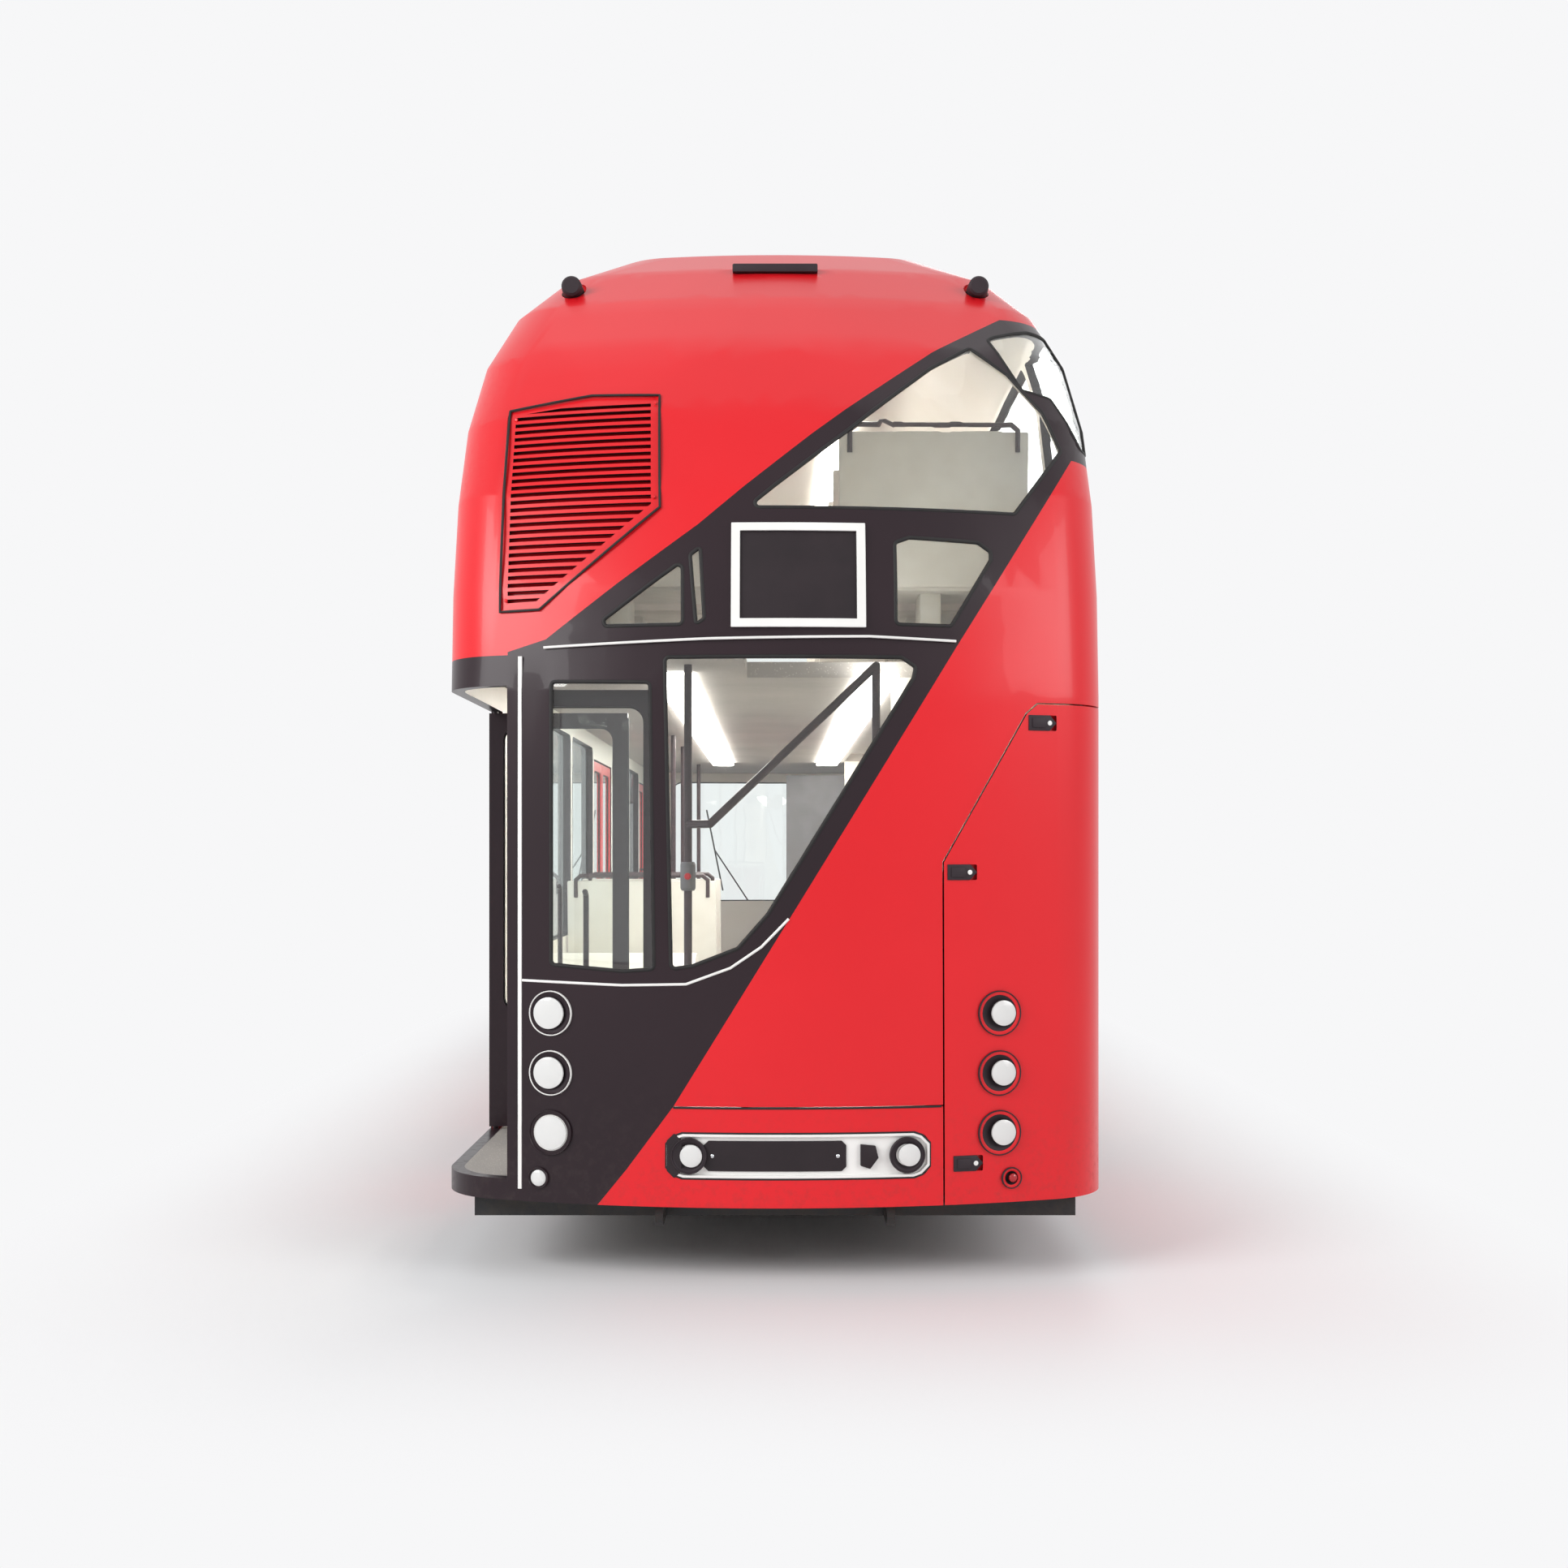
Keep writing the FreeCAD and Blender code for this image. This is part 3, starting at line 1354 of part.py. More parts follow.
def main():
    os.makedirs("parts", exist_ok=True)
    inside = hull(wall, inner_top, under)
    pieces = build_shell()

    grille_hole, grille = build_grille()
    box_hole, box = route_box(
        box_centre_x, route_box_width, route_box_low, route_box_high, tail_prism
    )
    nose_hole, nose_box = route_box(0, front_box_width, front_box_low, front_box_high, nose_prism)
    roof_pieces = roof_lamps()
    left_lamps = tail_lamps(-1)
    right_lamps = tail_lamps(1)
    tray = plate_tray()
    ends = tray_lamps()
    tray_space = skin(tray_prism(0), 0, plate_tray_depth)
    latches = [latch(x, z) for x, z in tail_points(latch_shares)]

    door = pieces["rear_panel"].common(engine_door_tool(engine_door_gap))
    rear = pieces["rear_panel"].cut(engine_door_tool(0))
    turning = hinge_parts(True)
    straps = [piece for piece, bore in turning]
    bores = [bore for piece, bore in turning]
    standing = hinge_parts(False)
    clear = []
    for z in (hinge_low, hinge_high):
        axis = V(half_width, engine_door_front_y, z)
        gap = V(0, 0, hinge_gap)
        top = axis + V(0, 0, hinge_barrel) + gap
        clear.append(rod(axis - gap, top, hinge_radius + 2 * hinge_gap))
    door = door.cut(clear)
    door = joined([door] + straps).cut(bores).cut(right_lamps + latches)
    rear = joined([rear.cut(clear)] + standing)
    seam = block(-far, engine_door_x, rear_y, rear_zone_y, under, bumper_top + bumper_gap)
    bumper = block(-far, engine_door_x, rear_y, rear_zone_y, under, bumper_top)
    pieces["rear_panel"] = rear.cut(seam)
    pieces["rear_bumper"] = rear.common(bumper).cut([tray_space] + ends)
    pieces["rear_frame"] = pieces["rear_frame"].cut([box_hole, tray_space] + left_lamps + ends)
    tray = tray.cut(ends)
    dome = pieces["roof_panel"]
    grille_space = skin(grille_hole, 0, grille_recess + grille_depth)
    pieces["roof_panel"] = dome.cut([grille_space] + roof_pieces)
    pieces["rear_frame"] = joined([pieces["rear_frame"], platform_bracket(inside)])
    nose_lamps = front_lamps(-1) + front_lamps(1)
    pieces["front_panels"] = pieces["front_panels"].cut([nose_hole] + nose_lamps)
    mirrors = [build_mirror(-1), build_mirror(1)]
    for name in ("rear_frame", "side_panels_nearside", "side_frames_nearside", "roof_panel"):
        pieces[name] = pieces[name].cut(leaf_holes())
    for name in ("front_panels", "front_frames"):
        pieces[name] = pieces[name].cut(mirrors)

    lower, upper = build_floors(inside)
    pieces["floor_lower"] = lower.cut(leaf_holes())
    pieces["floor_upper"] = upper.cut(leaf_holes())
    pieces.update(build_glass())
    pieces["rear_grille"] = grille
    pieces["route_boxes"] = group([box, nose_box])
    pieces["plate_tray"] = tray
    pieces["rear_lamps"] = group(left_lamps + ends + roof_pieces)
    pieces["engine_door"] = door
    pieces["engine_door_lamps"] = group(right_lamps + latches)
    pieces["front_lamps"] = group(nose_lamps)
    pieces["mirrors"] = group(mirrors)
    pieces["wheel_boxes"] = group(arch_boxes(False))
    stairs = [build_rear_stair(inside), build_front_stair(inside)]
    pieces["staircases"] = group(stairs)
    pieces["seats"] = build_seats()
    pieces["handrails"] = build_rails()
    pieces["stair_rail"] = build_stair_rail()
    pieces["driver_cab"] = build_cab(inside)
    engine, housing = build_engine(inside)
    pieces["engine_block"] = engine
    pieces["engine_housing"] = housing
    pieces["underframe"] = build_underframe()
    pieces["rear_axle"] = build_rear_axle()
    pieces["front_axle"] = build_front_axle()
    for side, name in ((-1, "left"), (1, "right")):
        pieces["knuckle_" + name] = build_knuckle(side)
        pieces["tyre_front_" + name] = tyre(side * front_wheel_x, front_axle_y)
        pieces["rim_front_" + name] = front_rim(side, front_axle_y)
        twins = [tyre(side * x, rear_axle_y) for x in (rear_inner_wheel_x, rear_outer_wheel_x)]
        pieces["tyres_rear_" + name] = group(twins)
        pieces["rims_rear_" + name] = rear_rim(side, rear_axle_y)
    for name, x, y, length, turn in leaf_places():
        pieces["leaf_" + name] = placed_leaf(x, y, length, turn, False)
        pieces["leaf_glass_" + name] = placed_leaf(x, y, length, turn, True)
    for name, shape in pieces.items():
        save(name, shape)


main()
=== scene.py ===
import json
import math

import bmesh
import bpy
from mathutils import Matrix, Vector

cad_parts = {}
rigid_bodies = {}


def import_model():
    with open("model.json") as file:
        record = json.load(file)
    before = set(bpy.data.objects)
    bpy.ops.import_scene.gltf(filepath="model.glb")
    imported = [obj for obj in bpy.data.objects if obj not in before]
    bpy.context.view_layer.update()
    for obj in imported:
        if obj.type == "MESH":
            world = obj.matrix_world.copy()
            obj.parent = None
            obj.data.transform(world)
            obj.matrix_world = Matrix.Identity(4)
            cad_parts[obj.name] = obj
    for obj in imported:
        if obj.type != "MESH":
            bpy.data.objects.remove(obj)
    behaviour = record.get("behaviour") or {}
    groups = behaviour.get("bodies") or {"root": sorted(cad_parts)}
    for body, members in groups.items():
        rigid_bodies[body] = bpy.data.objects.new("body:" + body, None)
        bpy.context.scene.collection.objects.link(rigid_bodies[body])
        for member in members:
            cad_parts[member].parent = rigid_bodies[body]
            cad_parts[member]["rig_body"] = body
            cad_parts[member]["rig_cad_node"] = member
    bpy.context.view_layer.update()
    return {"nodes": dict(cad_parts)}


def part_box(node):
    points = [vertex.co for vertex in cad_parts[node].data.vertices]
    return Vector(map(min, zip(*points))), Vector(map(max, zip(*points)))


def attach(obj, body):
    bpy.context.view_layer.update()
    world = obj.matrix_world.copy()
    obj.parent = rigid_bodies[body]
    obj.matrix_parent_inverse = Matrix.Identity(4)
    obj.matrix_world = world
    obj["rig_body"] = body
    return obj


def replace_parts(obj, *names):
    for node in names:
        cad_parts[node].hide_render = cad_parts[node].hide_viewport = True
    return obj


# A double decker bus seen from behind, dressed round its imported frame. Metres. X runs to the
# bus's right side, Y to its nose and Z up.

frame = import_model()

MM = 0.001
ACROSS = Vector((1, 0, 0))
AHEAD = Vector((0, 1, 0))
UP = Vector((0, 0, 1))
FULL_TURN = 2 * math.pi

# Points closer than this are one point.
SAME_POINT = 0.01 * MM

# An edge that turns by more shows as a crease: on a new piece, on a merged copy of a frame node,
# and on a pad or a bead. A new piece's edges past SHARP_ANGLE are rounded.
SMOOTH_ANGLE = math.radians(28)
COPY_ANGLE = math.radians(40)
SOFT_ANGLE = math.radians(60)
SHARP_ANGLE = math.radians(30)

# How strongly a merged copy's shading follows its larger faces, where 50 is evenly.
EVEN_WEIGHT = 80

# The bow and the lean of the tail and of the nose, as the frame has them: each end is an arc
# about an upright line, and above lean_start it leans in along a quarter ellipse.
bow_radius = 3.2
end_y = 5.615
lean_start = 2.2
lean_top = 4.45
rear_lean = 2.4
front_lean = 0.9
half_width = 1.26

leaf_names = ("centre_rear", "centre_front", "front_rear", "front_front")
platform_leaf_names = ("platform_front", "platform_rear")
all_leaf_names = leaf_names + platform_leaf_names


# Modelling by hand


def start():
    """Nothing selected, in object mode."""
    if bpy.context.mode != "OBJECT":
        bpy.ops.object.mode_set(mode="OBJECT")
    bpy.ops.object.select_all(action="DESELECT")


def pick(piece):
    """Only this piece selected and active."""
    start()
    piece.select_set(True)
    bpy.context.view_layer.objects.active = piece
    return piece


def placed(name):
    """Name the new piece and write its place into its mesh."""
    piece = bpy.context.object
    piece.name = name
    bpy.ops.object.transform_apply(location=True, rotation=True, scale=True)
    return piece


def edit(piece, select="SELECT"):
    """Open a piece for editing, all of it selected or none."""
    pick(piece)
    bpy.ops.object.mode_set(mode="EDIT")
    bpy.ops.mesh.select_all(action=select)


def closed():
    """Leave edit mode."""
    bpy.ops.object.mode_set(mode="OBJECT")


def smooth(piece, angle=SMOOTH_ANGLE):
    """Shade a piece smooth, but for its creases."""
    pick(piece)
    bpy.ops.object.shade_smooth_by_angle(angle=angle)
    return piece


def mended(piece):
    """Merge a spun or mirrored piece's doubles and turn its faces outwards."""
    edit(piece)
    bpy.ops.mesh.remove_doubles(threshold=SAME_POINT)
    bpy.ops.mesh.normals_make_consistent(inside=False)
    closed()
    return smooth(piece)


def evened(piece):
    """Shade a merged copy by its largest faces, so that no sliver shows in its gloss."""
    pick(piece)
    bpy.ops.mesh.customdata_custom_splitnormals_clear()
    smooth(piece, COPY_ANGLE)
    even = piece.modifiers.new("even", "WEIGHTED_NORMAL")
    even.weight = EVEN_WEIGHT
    even.keep_sharp = True
    bpy.ops.object.modifier_apply(modifier="even")
    return piece


def softened(piece, width, segments=2):
    """Round a piece's sharp edges."""
    edit(piece, "DESELECT")
    bpy.ops.mesh.select_mode(type="EDGE")
    bpy.ops.mesh.edges_select_sharp(sharpness=SHARP_ANGLE)
    bpy.ops.mesh.bevel(offset=width, segments=segments, affect="EDGES")
    bpy.ops.mesh.select_mode(type="VERT")
    closed()
    return smooth(piece)


def block(name, low, high, round_edge, segments=2):
    """A box between two corners with its edges rounded."""
    start()
    low = Vector(low)
    high = Vector(high)
    bpy.ops.mesh.primitive_cube_add(size=1, location=(low + high) / 2)
    bpy.context.object.scale = high - low
    return softened(placed(name), round_edge, segments)


def turned(name, profile, place, axis, steps=48):
    """A turned piece: a closed outline of (along, radius) points, spun about an axis."""
    start()
    place = Vector(place)
    axis = Vector(axis).normalized()
    side = axis.orthogonal().normalized()
    bpy.ops.mesh.primitive_circle_add(vertices=len(profile), radius=1)
    piece = placed(name)
    for vertex, (along, radius) in zip(piece.data.vertices, profile):
        vertex.co = place + axis * along + side * radius
    edit(piece)
    bpy.ops.mesh.spin(steps=steps, angle=FULL_TURN, center=place, axis=axis)
    closed()
    return mended(piece)


def ringed(piece, count, place, axis):
    """Copies of a piece all round an axis, in one mesh."""
    edit(piece)
    bpy.ops.mesh.spin(
        steps=count, angle=FULL_TURN, center=Vector(place), axis=Vector(axis), dupli=True
    )
    closed()
    return mended(piece)


def tube(name, points, radius, round_trip=False):
    """A bead or bent tube along points."""
    line = bpy.data.curves.new(name, "CURVE")
    line.dimensions = "3D"
    line.bevel_depth = radius
    line.bevel_resolution = 2
    line.use_fill_caps = True
    spline = line.splines.new("POLY")
    spline.points.add(len(points) - 1)
    for spot, place in zip(spline.points, points):
        spot.co = (*place, 1)
    spline.use_cyclic_u = round_trip
    piece = bpy.data.objects.new(name, line)
    bpy.context.collection.objects.link(piece)
    pick(piece)
    bpy.ops.object.convert(target="MESH")
    return mended(bpy.context.object)


def joined(name, pieces):
    """Join pieces into the first of them."""
    start()
    for piece in pieces:
        piece.select_set(True)
    bpy.context.view_layer.objects.active = pieces[0]
    if len(pieces) > 1:
        bpy.ops.object.join()
    pieces[0].name = name
    return pieces[0]


def copied(piece, offset):
    """A copy with its own mesh, moved."""
    pick(piece)
    bpy.ops.object.duplicate(linked=False)
    twin = bpy.context.object
    twin.data.transform(Matrix.Translation(Vector(offset)))
    return twin


def mirrored(piece):
    """The same piece on the bus's other side."""
    twin = copied(piece, (0, 0, 0))
    twin.data.transform(Matrix.Scale(-1, 4, ACROSS))
    return mended(twin)


def ready(piece, finish, body="bus"):
    """Give a piece its finish and the body that it moves with."""
    piece.data.materials.clear()
    piece.data.materials.append(finish)
    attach(piece, body)
    return piece


def merged_copy(node, name):
    """A copy of a frame node with its loose triangles merged."""
    pick(frame["nodes"][node])
    bpy.ops.object.duplicate(linked=False)
    piece = bpy.context.object
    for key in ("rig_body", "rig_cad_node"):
        del piece[key]
    piece.parent = None
    piece.name = name
    piece.modifiers.clear()
    edit(piece)
    bpy.ops.mesh.remove_doubles(threshold=SAME_POINT)
    closed()
    return piece


def faces_picked(piece, chosen):
    """Open a piece with only the faces selected that chosen names."""
    edit(piece, "DESELECT")
    bpy.ops.mesh.select_mode(type="FACE")
    shape = bmesh.from_edit_mesh(piece.data)
    for face in shape.faces:
        face.select_set(chosen(face.calc_center_median(), face.normal))
    bmesh.update_edit_mesh(piece.data)


def two_tone(node, name, first, second, chosen, body="bus"):
    """A merged copy of a node in two finishes; chosen says which faces take the second."""
    piece = ready(merged_copy(node, name), first, body)
    piece.data.materials.append(second)
    faces_picked(piece, chosen)
    piece.active_material_index = 1
    bpy.ops.object.material_slot_assign()
    bpy.ops.mesh.select_mode(type="VERT")
    closed()
    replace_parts(evened(piece), node)
    return piece


def solids_of(node):
    """Lowest and highest corner of each separate solid of a frame node."""
    shape = bmesh.new()
    shape.from_mesh(frame["nodes"][node].data)
    bmesh.ops.remove_doubles(shape, verts=shape.verts, dist=SAME_POINT)
    boxes = []
    left = set(shape.verts)
    while left:
        reached = [left.pop()]
        for vertex in reached:
            for edge in vertex.link_edges:
                other = edge.other_vert(vertex)
                if other in left:
                    left.remove(other)
                    reached.append(other)
        places = [vertex.co for vertex in reached]
        low = Vector([min(place[i] for place in places) for i in range(3)])
        high = Vector([max(place[i] for place in places) for i in range(3)])
        boxes.append((low, high))
    shape.free()
    return sorted(boxes, key=lambda box: tuple(round(value, 3) for value in box[0]))


def drop(pieces):
    """Remove patterns once they have been copied."""
    for piece in pieces:
        bpy.data.objects.remove(piece)


# Places on the bowed ends of the body


def bow_centre(place):
    """Middle of the bow of the end that a place belongs to, at the place's height."""
    centre = end_y - bow_radius
    return Vector((0, -centre if place.y < 0 else centre, place.z))


def from_bow(place):
    """Level direction straight out of the tail or the nose at a place."""
    return (place - bow_centre(place)).normalized()


def on_end(x, z, end, proud=0.0):
    """Point on the skin of the tail (end -1) or nose (end 1), or proud of it."""
    rise = max(0.0, z - lean_start) / (lean_top - lean_start)
    back = (rear_lean if end < 0 else front_lean) * (1 - math.sqrt(1 - rise**2))
    depth = math.sqrt((bow_radius + proud) ** 2 - x**2)
    return Vector((x, end * (end_y - back - bow_radius + depth), z))


# The pitch of the points of a line on the skin, a bowed panel's columns and rows of faces, and
# the most of a column that a frame's rim takes.
line_pitch = 40 * MM
bow_columns = 32
bow_rows = 4
rim_share = 0.8


def end_line(corners, end, proud):
    """Points close together on an end's skin between the (x, z) corners of a line."""
    points = []
    for (x0, z0), (x1, z1) in zip(corners, corners[1:]):
        count = max(1, round(math.hypot(x1 - x0, z1 - z0) / line_pitch))
        for i in range(count):
            share = i / count
            points.append(on_end(x0 + (x1 - x0) * share, z0 + (z1 - z0) * share, end, proud))
    points.append(on_end(*corners[-1], end, proud))
    return points


def bowed(name, low, high, end, depths, chamfer=0.0, rim=None, round_edge=1.5 * MM):
    """A panel between two (x, z) corners that follows an end's skin, between two depths proud of
    it. Its corners are cut by chamfer, and with a rim it is a frame of that width, with no column
    of faces narrower than the rim."""
    columns = bow_columns
    if rim is not None:
        columns = min(bow_columns, int((high[0] - low[0]) / rim * rim_share))
    start()
    bpy.ops.mesh.primitive_grid_add(x_subdivisions=columns, y_subdivisions=bow_rows, size=1)
    piece = placed(name)
    inner, outer = depths
    for vertex in piece.data.vertices:
        x = low[0] + (vertex.co.x + 0.5) * (high[0] - low[0])
        cut = max(0.0, chamfer - min(x - low[0], high[0] - x))
        z = low[1] + cut + (vertex.co.y + 0.5) * (high[1] - low[1] - 2 * cut)
        vertex.co = on_end(x, z, end, inner)
    edit(piece)
    if rim is not None:
        bpy.ops.mesh.inset(thickness=rim)
        bpy.ops.mesh.delete(type="FACE")
        bpy.ops.mesh.select_all(action="SELECT")
    bpy.ops.mesh.extrude_region_move()
    closed()
    for vertex in piece.data.vertices:
        if vertex.select:
            vertex.co += from_bow(vertex.co) * (outer - inner)
    return softened(mended(piece), round_edge, 1)


def slab(name, x, z, end, outline, depths, round_edge=2 * MM):
    """A small flat plate of an outline of (across, up) points, set on an end's skin."""
    spot = on_end(x, z, end)
    way = from_bow(spot)
    across = UP.cross(way)
    start()
    bpy.ops.mesh.primitive_circle_add(vertices=len(outline), radius=1, fill_type="NGON")
    piece = placed(name)
    for vertex, (u, v) in zip(piece.data.vertices, outline):
        vertex.co = spot + across * u + UP * v + way * depths[0]
    edit(piece)
    bpy.ops.mesh.extrude_region_move(
        TRANSFORM_OT_translate={"value": way * (depths[1] - depths[0])}
    )
    bpy.ops.mesh.select_all(action="SELECT")
    bpy.ops.mesh.normals_make_consistent(inside=False)
    closed()
    return softened(piece, round_edge)


# A sheet in the middle of the saloon, which ends this far ahead and behind and this high. A
# face that looks back at it has a lower cosine than this with the way out of it.
core_reach = 4.0
core_top = 3.6
inward_most = -0.25


def inward_side(place, normal):
    """True for a face of the body shell that looks at the middle of the saloon."""
    along = min(core_reach, max(-core_reach, place.y))
    core = Vector((0, along, min(core_top, max(0.0, place.z))))
    return normal.dot((place - core).normalized()) < inward_most


# Materials


def linear(code):
    """An sRGB hex colour in linear light."""
    shares = [int(code[i : i + 2], 16) / 255 for i in (0, 2, 4)]
    return [s / 12.92 if s <= 0.04045 else ((s + 0.055) / 1.055) ** 2.4 for s in shares] + [1.0]


def fill(tree, made, inputs):
    """Set or link a node's inputs."""
    for name, value in inputs.items():
        socket = made.inputs[name]
        if isinstance(value, bpy.types.NodeSocket):
            tree.links.new(value, socket)
        else:
            socket.default_value = value
    return made


def add(tree, kind, output, inputs, **settings):
    """Add a node with its settings and links, and give back one of its outputs."""
    made = tree.nodes.new("ShaderNode" + kind)
    for name, value in settings.items():
        setattr(made, name, value)
    return fill(tree, made, inputs).outputs[output]


def finish_tree(name, shader_inputs):
    """A new material, its tree, its shader and the place on the piece in metres."""
    made = bpy.data.materials.new(name)
    made.use_nodes = True
    tree = made.node_tree
    shader = fill(tree, tree.nodes["Principled BSDF"], shader_inputs)
    return made, tree, shader, add(tree, "TexCoord", "Object", {})


# Heights above the road where grime is thickest and where it ends.
grime_thick = 0.3
grime_end = 0.8


def coach_enamel(name, fresh, faded, grime, index):
    """Two-pack enamel sprayed over aluminium and glass fibre: deep and glossy, slightly faded in
    clouds 0.9 m wide, with road grime low down in spatters of 36 mm. Its orange peel is 6 mm
    wide, coarser than the real 2 mm, so that it shows."""
    made, tree, shader, place = finish_tree(name, {"IOR": index, "Coat Weight": 0.1})
    cloud = add(tree, "TexNoise", "Fac", {"Vector": place, "Scale": 1.1, "Detail": 4})
    fade = add(tree, "MapRange", "Result", {"Value": cloud, "From Min": 0.35, "From Max": 0.65})
    paint = add(tree, "MixRGB", "Color", {0: fade, 1: linear(fresh), 2: linear(faded)})
    height = add(tree, "SeparateXYZ", "Z", {"Vector": place})
    low_down = {"Value": height, "From Min": grime_thick, "From Max": grime_end}
    low_down.update({"To Min": 1.0, "To Max": 0.0})
    low = add(tree, "MapRange", "Result", low_down)
    spatter = add(
        tree, "TexNoise", "Fac", {"Vector": place, "Scale": 28, "Detail": 7, "Roughness": 0.7}
    )
    splashed = {"Value": spatter, "From Min": 0.48, "From Max": 0.8, "To Max": 0.35}
    splash = add(tree, "MapRange", "Result", splashed)
    dirt = add(tree, "Math", "Value", {0: low, 1: splash}, operation="MULTIPLY")
    colour = add(tree, "MixRGB", "Color", {0: dirt, 1: paint, 2: linear(grime)})
    dulled = {"Value": dirt, "From Max": 0.4, "To Min": 0.32, "To Max": 0.6}
    rough = add(tree, "MapRange", "Result", dulled)
    peel = add(tree, "TexNoise", "Fac", {"Vector": place, "Scale": 160, "Detail": 1})
    skin = add(tree, "Bump", "Normal", {"Height": peel, "Distance": 0.05 * MM, "Strength": 0.25})
    fill(tree, shader, {"Base Color": colour, "Roughness": rough, "Normal": skin})
    return made


def moulded_plastic(name, colour, paler, grain, roughness):
    """Injection-moulded plastic with a spark-eroded grain, so its highlights break up softly. The
    grain is 1 to 2 mm, coarser than the real 0.2 mm so that it shows, and the colour drifts in
    clouds of 110 mm."""
    made, tree, shader, place = finish_tree(
        name, {"IOR": 1.5, "Specular IOR Level": 0.3, "Roughness": roughness}
    )
    cloud = add(tree, "TexNoise", "Fac", {"Vector": place, "Scale": 9, "Detail": 3})
    tone = add(tree, "MapRange", "Result", {"Value": cloud, "From Min": 0.3, "From Max": 0.7})
    shade = add(tree, "MixRGB", "Color", {0: tone, 1: linear(colour), 2: linear(paler)})
    pits = add(tree, "TexNoise", "Fac", {"Vector": place, "Scale": 1 / grain, "Detail": 2})
    skin = add(tree, "Bump", "Normal", {"Height": pits, "Distance": 0.12 * MM, "Strength": 0.4})
    fill(tree, shader, {"Base Color": shade, "Normal": skin})
    return made


def toughened_glass(name, colour):
    """Toughened float glass: clear, with a faint haze in swathes of 250 mm where it was wiped."""
    clear = {"Base Color": linear(colour), "IOR": 1.45, "Transmission Weight": 1.0}
    made, tree, shader, place = finish_tree(name, clear)
    wiped = add(tree, "TexNoise", "Fac", {"Vector": place, "Scale": 4, "Detail": 5})
    hazy = {"Value": wiped, "From Min": 0.55, "From Max": 0.8, "To Max": 0.05}
    fill(tree, shader, {"Roughness": add(tree, "MapRange", "Result", hazy)})
    return made


def moulded_lens(name, colour, clear):
    """Moulded polycarbonate with pressed prisms on its inner face, which break up what lies
    behind it. They are 9 mm apart, coarser than the real 3 mm, so that they show."""
    made, tree, shader, place = finish_tree(
        name,
        {"Base Color": linear(colour), "IOR": 1.58, "Roughness": 0.1, "Transmission Weight": clear},
    )
    cell = add(
        tree,
        "TexVoronoi",
        "Distance",
        {"Vector": place, "Scale": 110, "Randomness": 0.0},
        distance="CHEBYCHEV",
    )
    prisms = add(tree, "Bump", "Normal", {"Height": cell, "Distance": 0.8 * MM, "Strength": 0.5})
    fill(tree, shader, {"Normal": prisms})
    return made


def drawn_metal(name, colour, darker, roughness, line_scale):
    """Bright metal with the lines of its drawing or polishing, which spread its highlights. On
    trim and reflectors they run upright, 3 to 6 mm apart so that they show."""
    made, tree, shader, place = finish_tree(name, {"Metallic": 1.0})
    stretched = add(tree, "Mapping", "Vector", {"Vector": place, "Scale": line_scale})
    lines = add(tree, "TexNoise", "Fac", {"Vector": stretched, "Scale": 1.0, "Detail": 3})
    spread = {"Value": lines, "From Min": 0.3, "From Max": 0.7}
    spread.update({"To Min": roughness * 0.7, "To Max": roughness * 1.4})
    rough = add(tree, "MapRange", "Result", spread)
    tone = add(tree, "MixRGB", "Color", {0: lines, 1: linear(colour), 2: linear(darker)})
    skin = add(tree, "Bump", "Normal", {"Height": lines, "Distance": 0.02 * MM, "Strength": 0.3})
    fill(tree, shader, {"Base Color": tone, "Roughness": rough, "Normal": skin})
    return made


def dusty_rubber(name, colour, dust, cover):
    """Moulded or extruded rubber: near black and dull, with a film of dust in patches of 70 mm
    and a grain of 3 mm, coarser than the real one so that it shows."""
    made, tree, shader, place = finish_tree(name, {"IOR": 1.5, "Specular IOR Level": 0.35})
    patch = add(
        tree, "TexNoise", "Fac", {"Vector": place, "Scale": 14, "Detail": 5, "Roughness": 0.65}
    )
    filmed = {"Value": patch, "From Min": 0.4, "From Max": 0.75, "To Max": cover}
    film = add(tree, "MapRange", "Result", filmed)
    tone = add(tree, "MixRGB", "Color", {0: film, 1: linear(colour), 2: linear(dust)})
    rough = add(tree, "MapRange", "Result", {"Value": film, "To Min": 0.55, "To Max": 0.95})
    grain = add(tree, "TexNoise", "Fac", {"Vector": place, "Scale": 330, "Detail": 3})
    skin = add(tree, "Bump", "Normal", {"Height": grain, "Distance": 0.1 * MM, "Strength": 0.5})
    fill(tree, shader, {"Base Color": tone, "Roughness": rough, "Normal": skin})
    return made


def painted_casting(name, colour, dust):
    """Sand-cast iron and rolled steel under chassis paint: dull, with dust in patches of 90 mm
    and a sandy skin of 5 mm, coarser than the real 1 mm so that it shows."""
    made, tree, shader, place = finish_tree(name, {"Metallic": 0.1, "IOR": 1.5})
    patch = add(
        tree, "TexNoise", "Fac", {"Vector": place, "Scale": 11, "Detail": 6, "Roughness": 0.7}
    )
    filmed = {"Value": patch, "From Min": 0.4, "From Max": 0.7, "To Max": 0.7}
    film = add(tree, "MapRange", "Result", filmed)
    tone = add(tree, "MixRGB", "Color", {0: film, 1: linear(colour), 2: linear(dust)})
    rough = add(tree, "MapRange", "Result", {"Value": film, "To Min": 0.5, "To Max": 0.95})
    sand = add(
        tree, "TexNoise", "Fac", {"Vector": place, "Scale": 200, "Detail": 4, "Roughness": 0.6}
    )
    skin = add(tree, "Bump", "Normal", {"Height": sand, "Distance": 0.4 * MM, "Strength": 0.6})
    fill(tree, shader, {"Base Color": tone, "Roughness": rough, "Normal": skin})
    return made


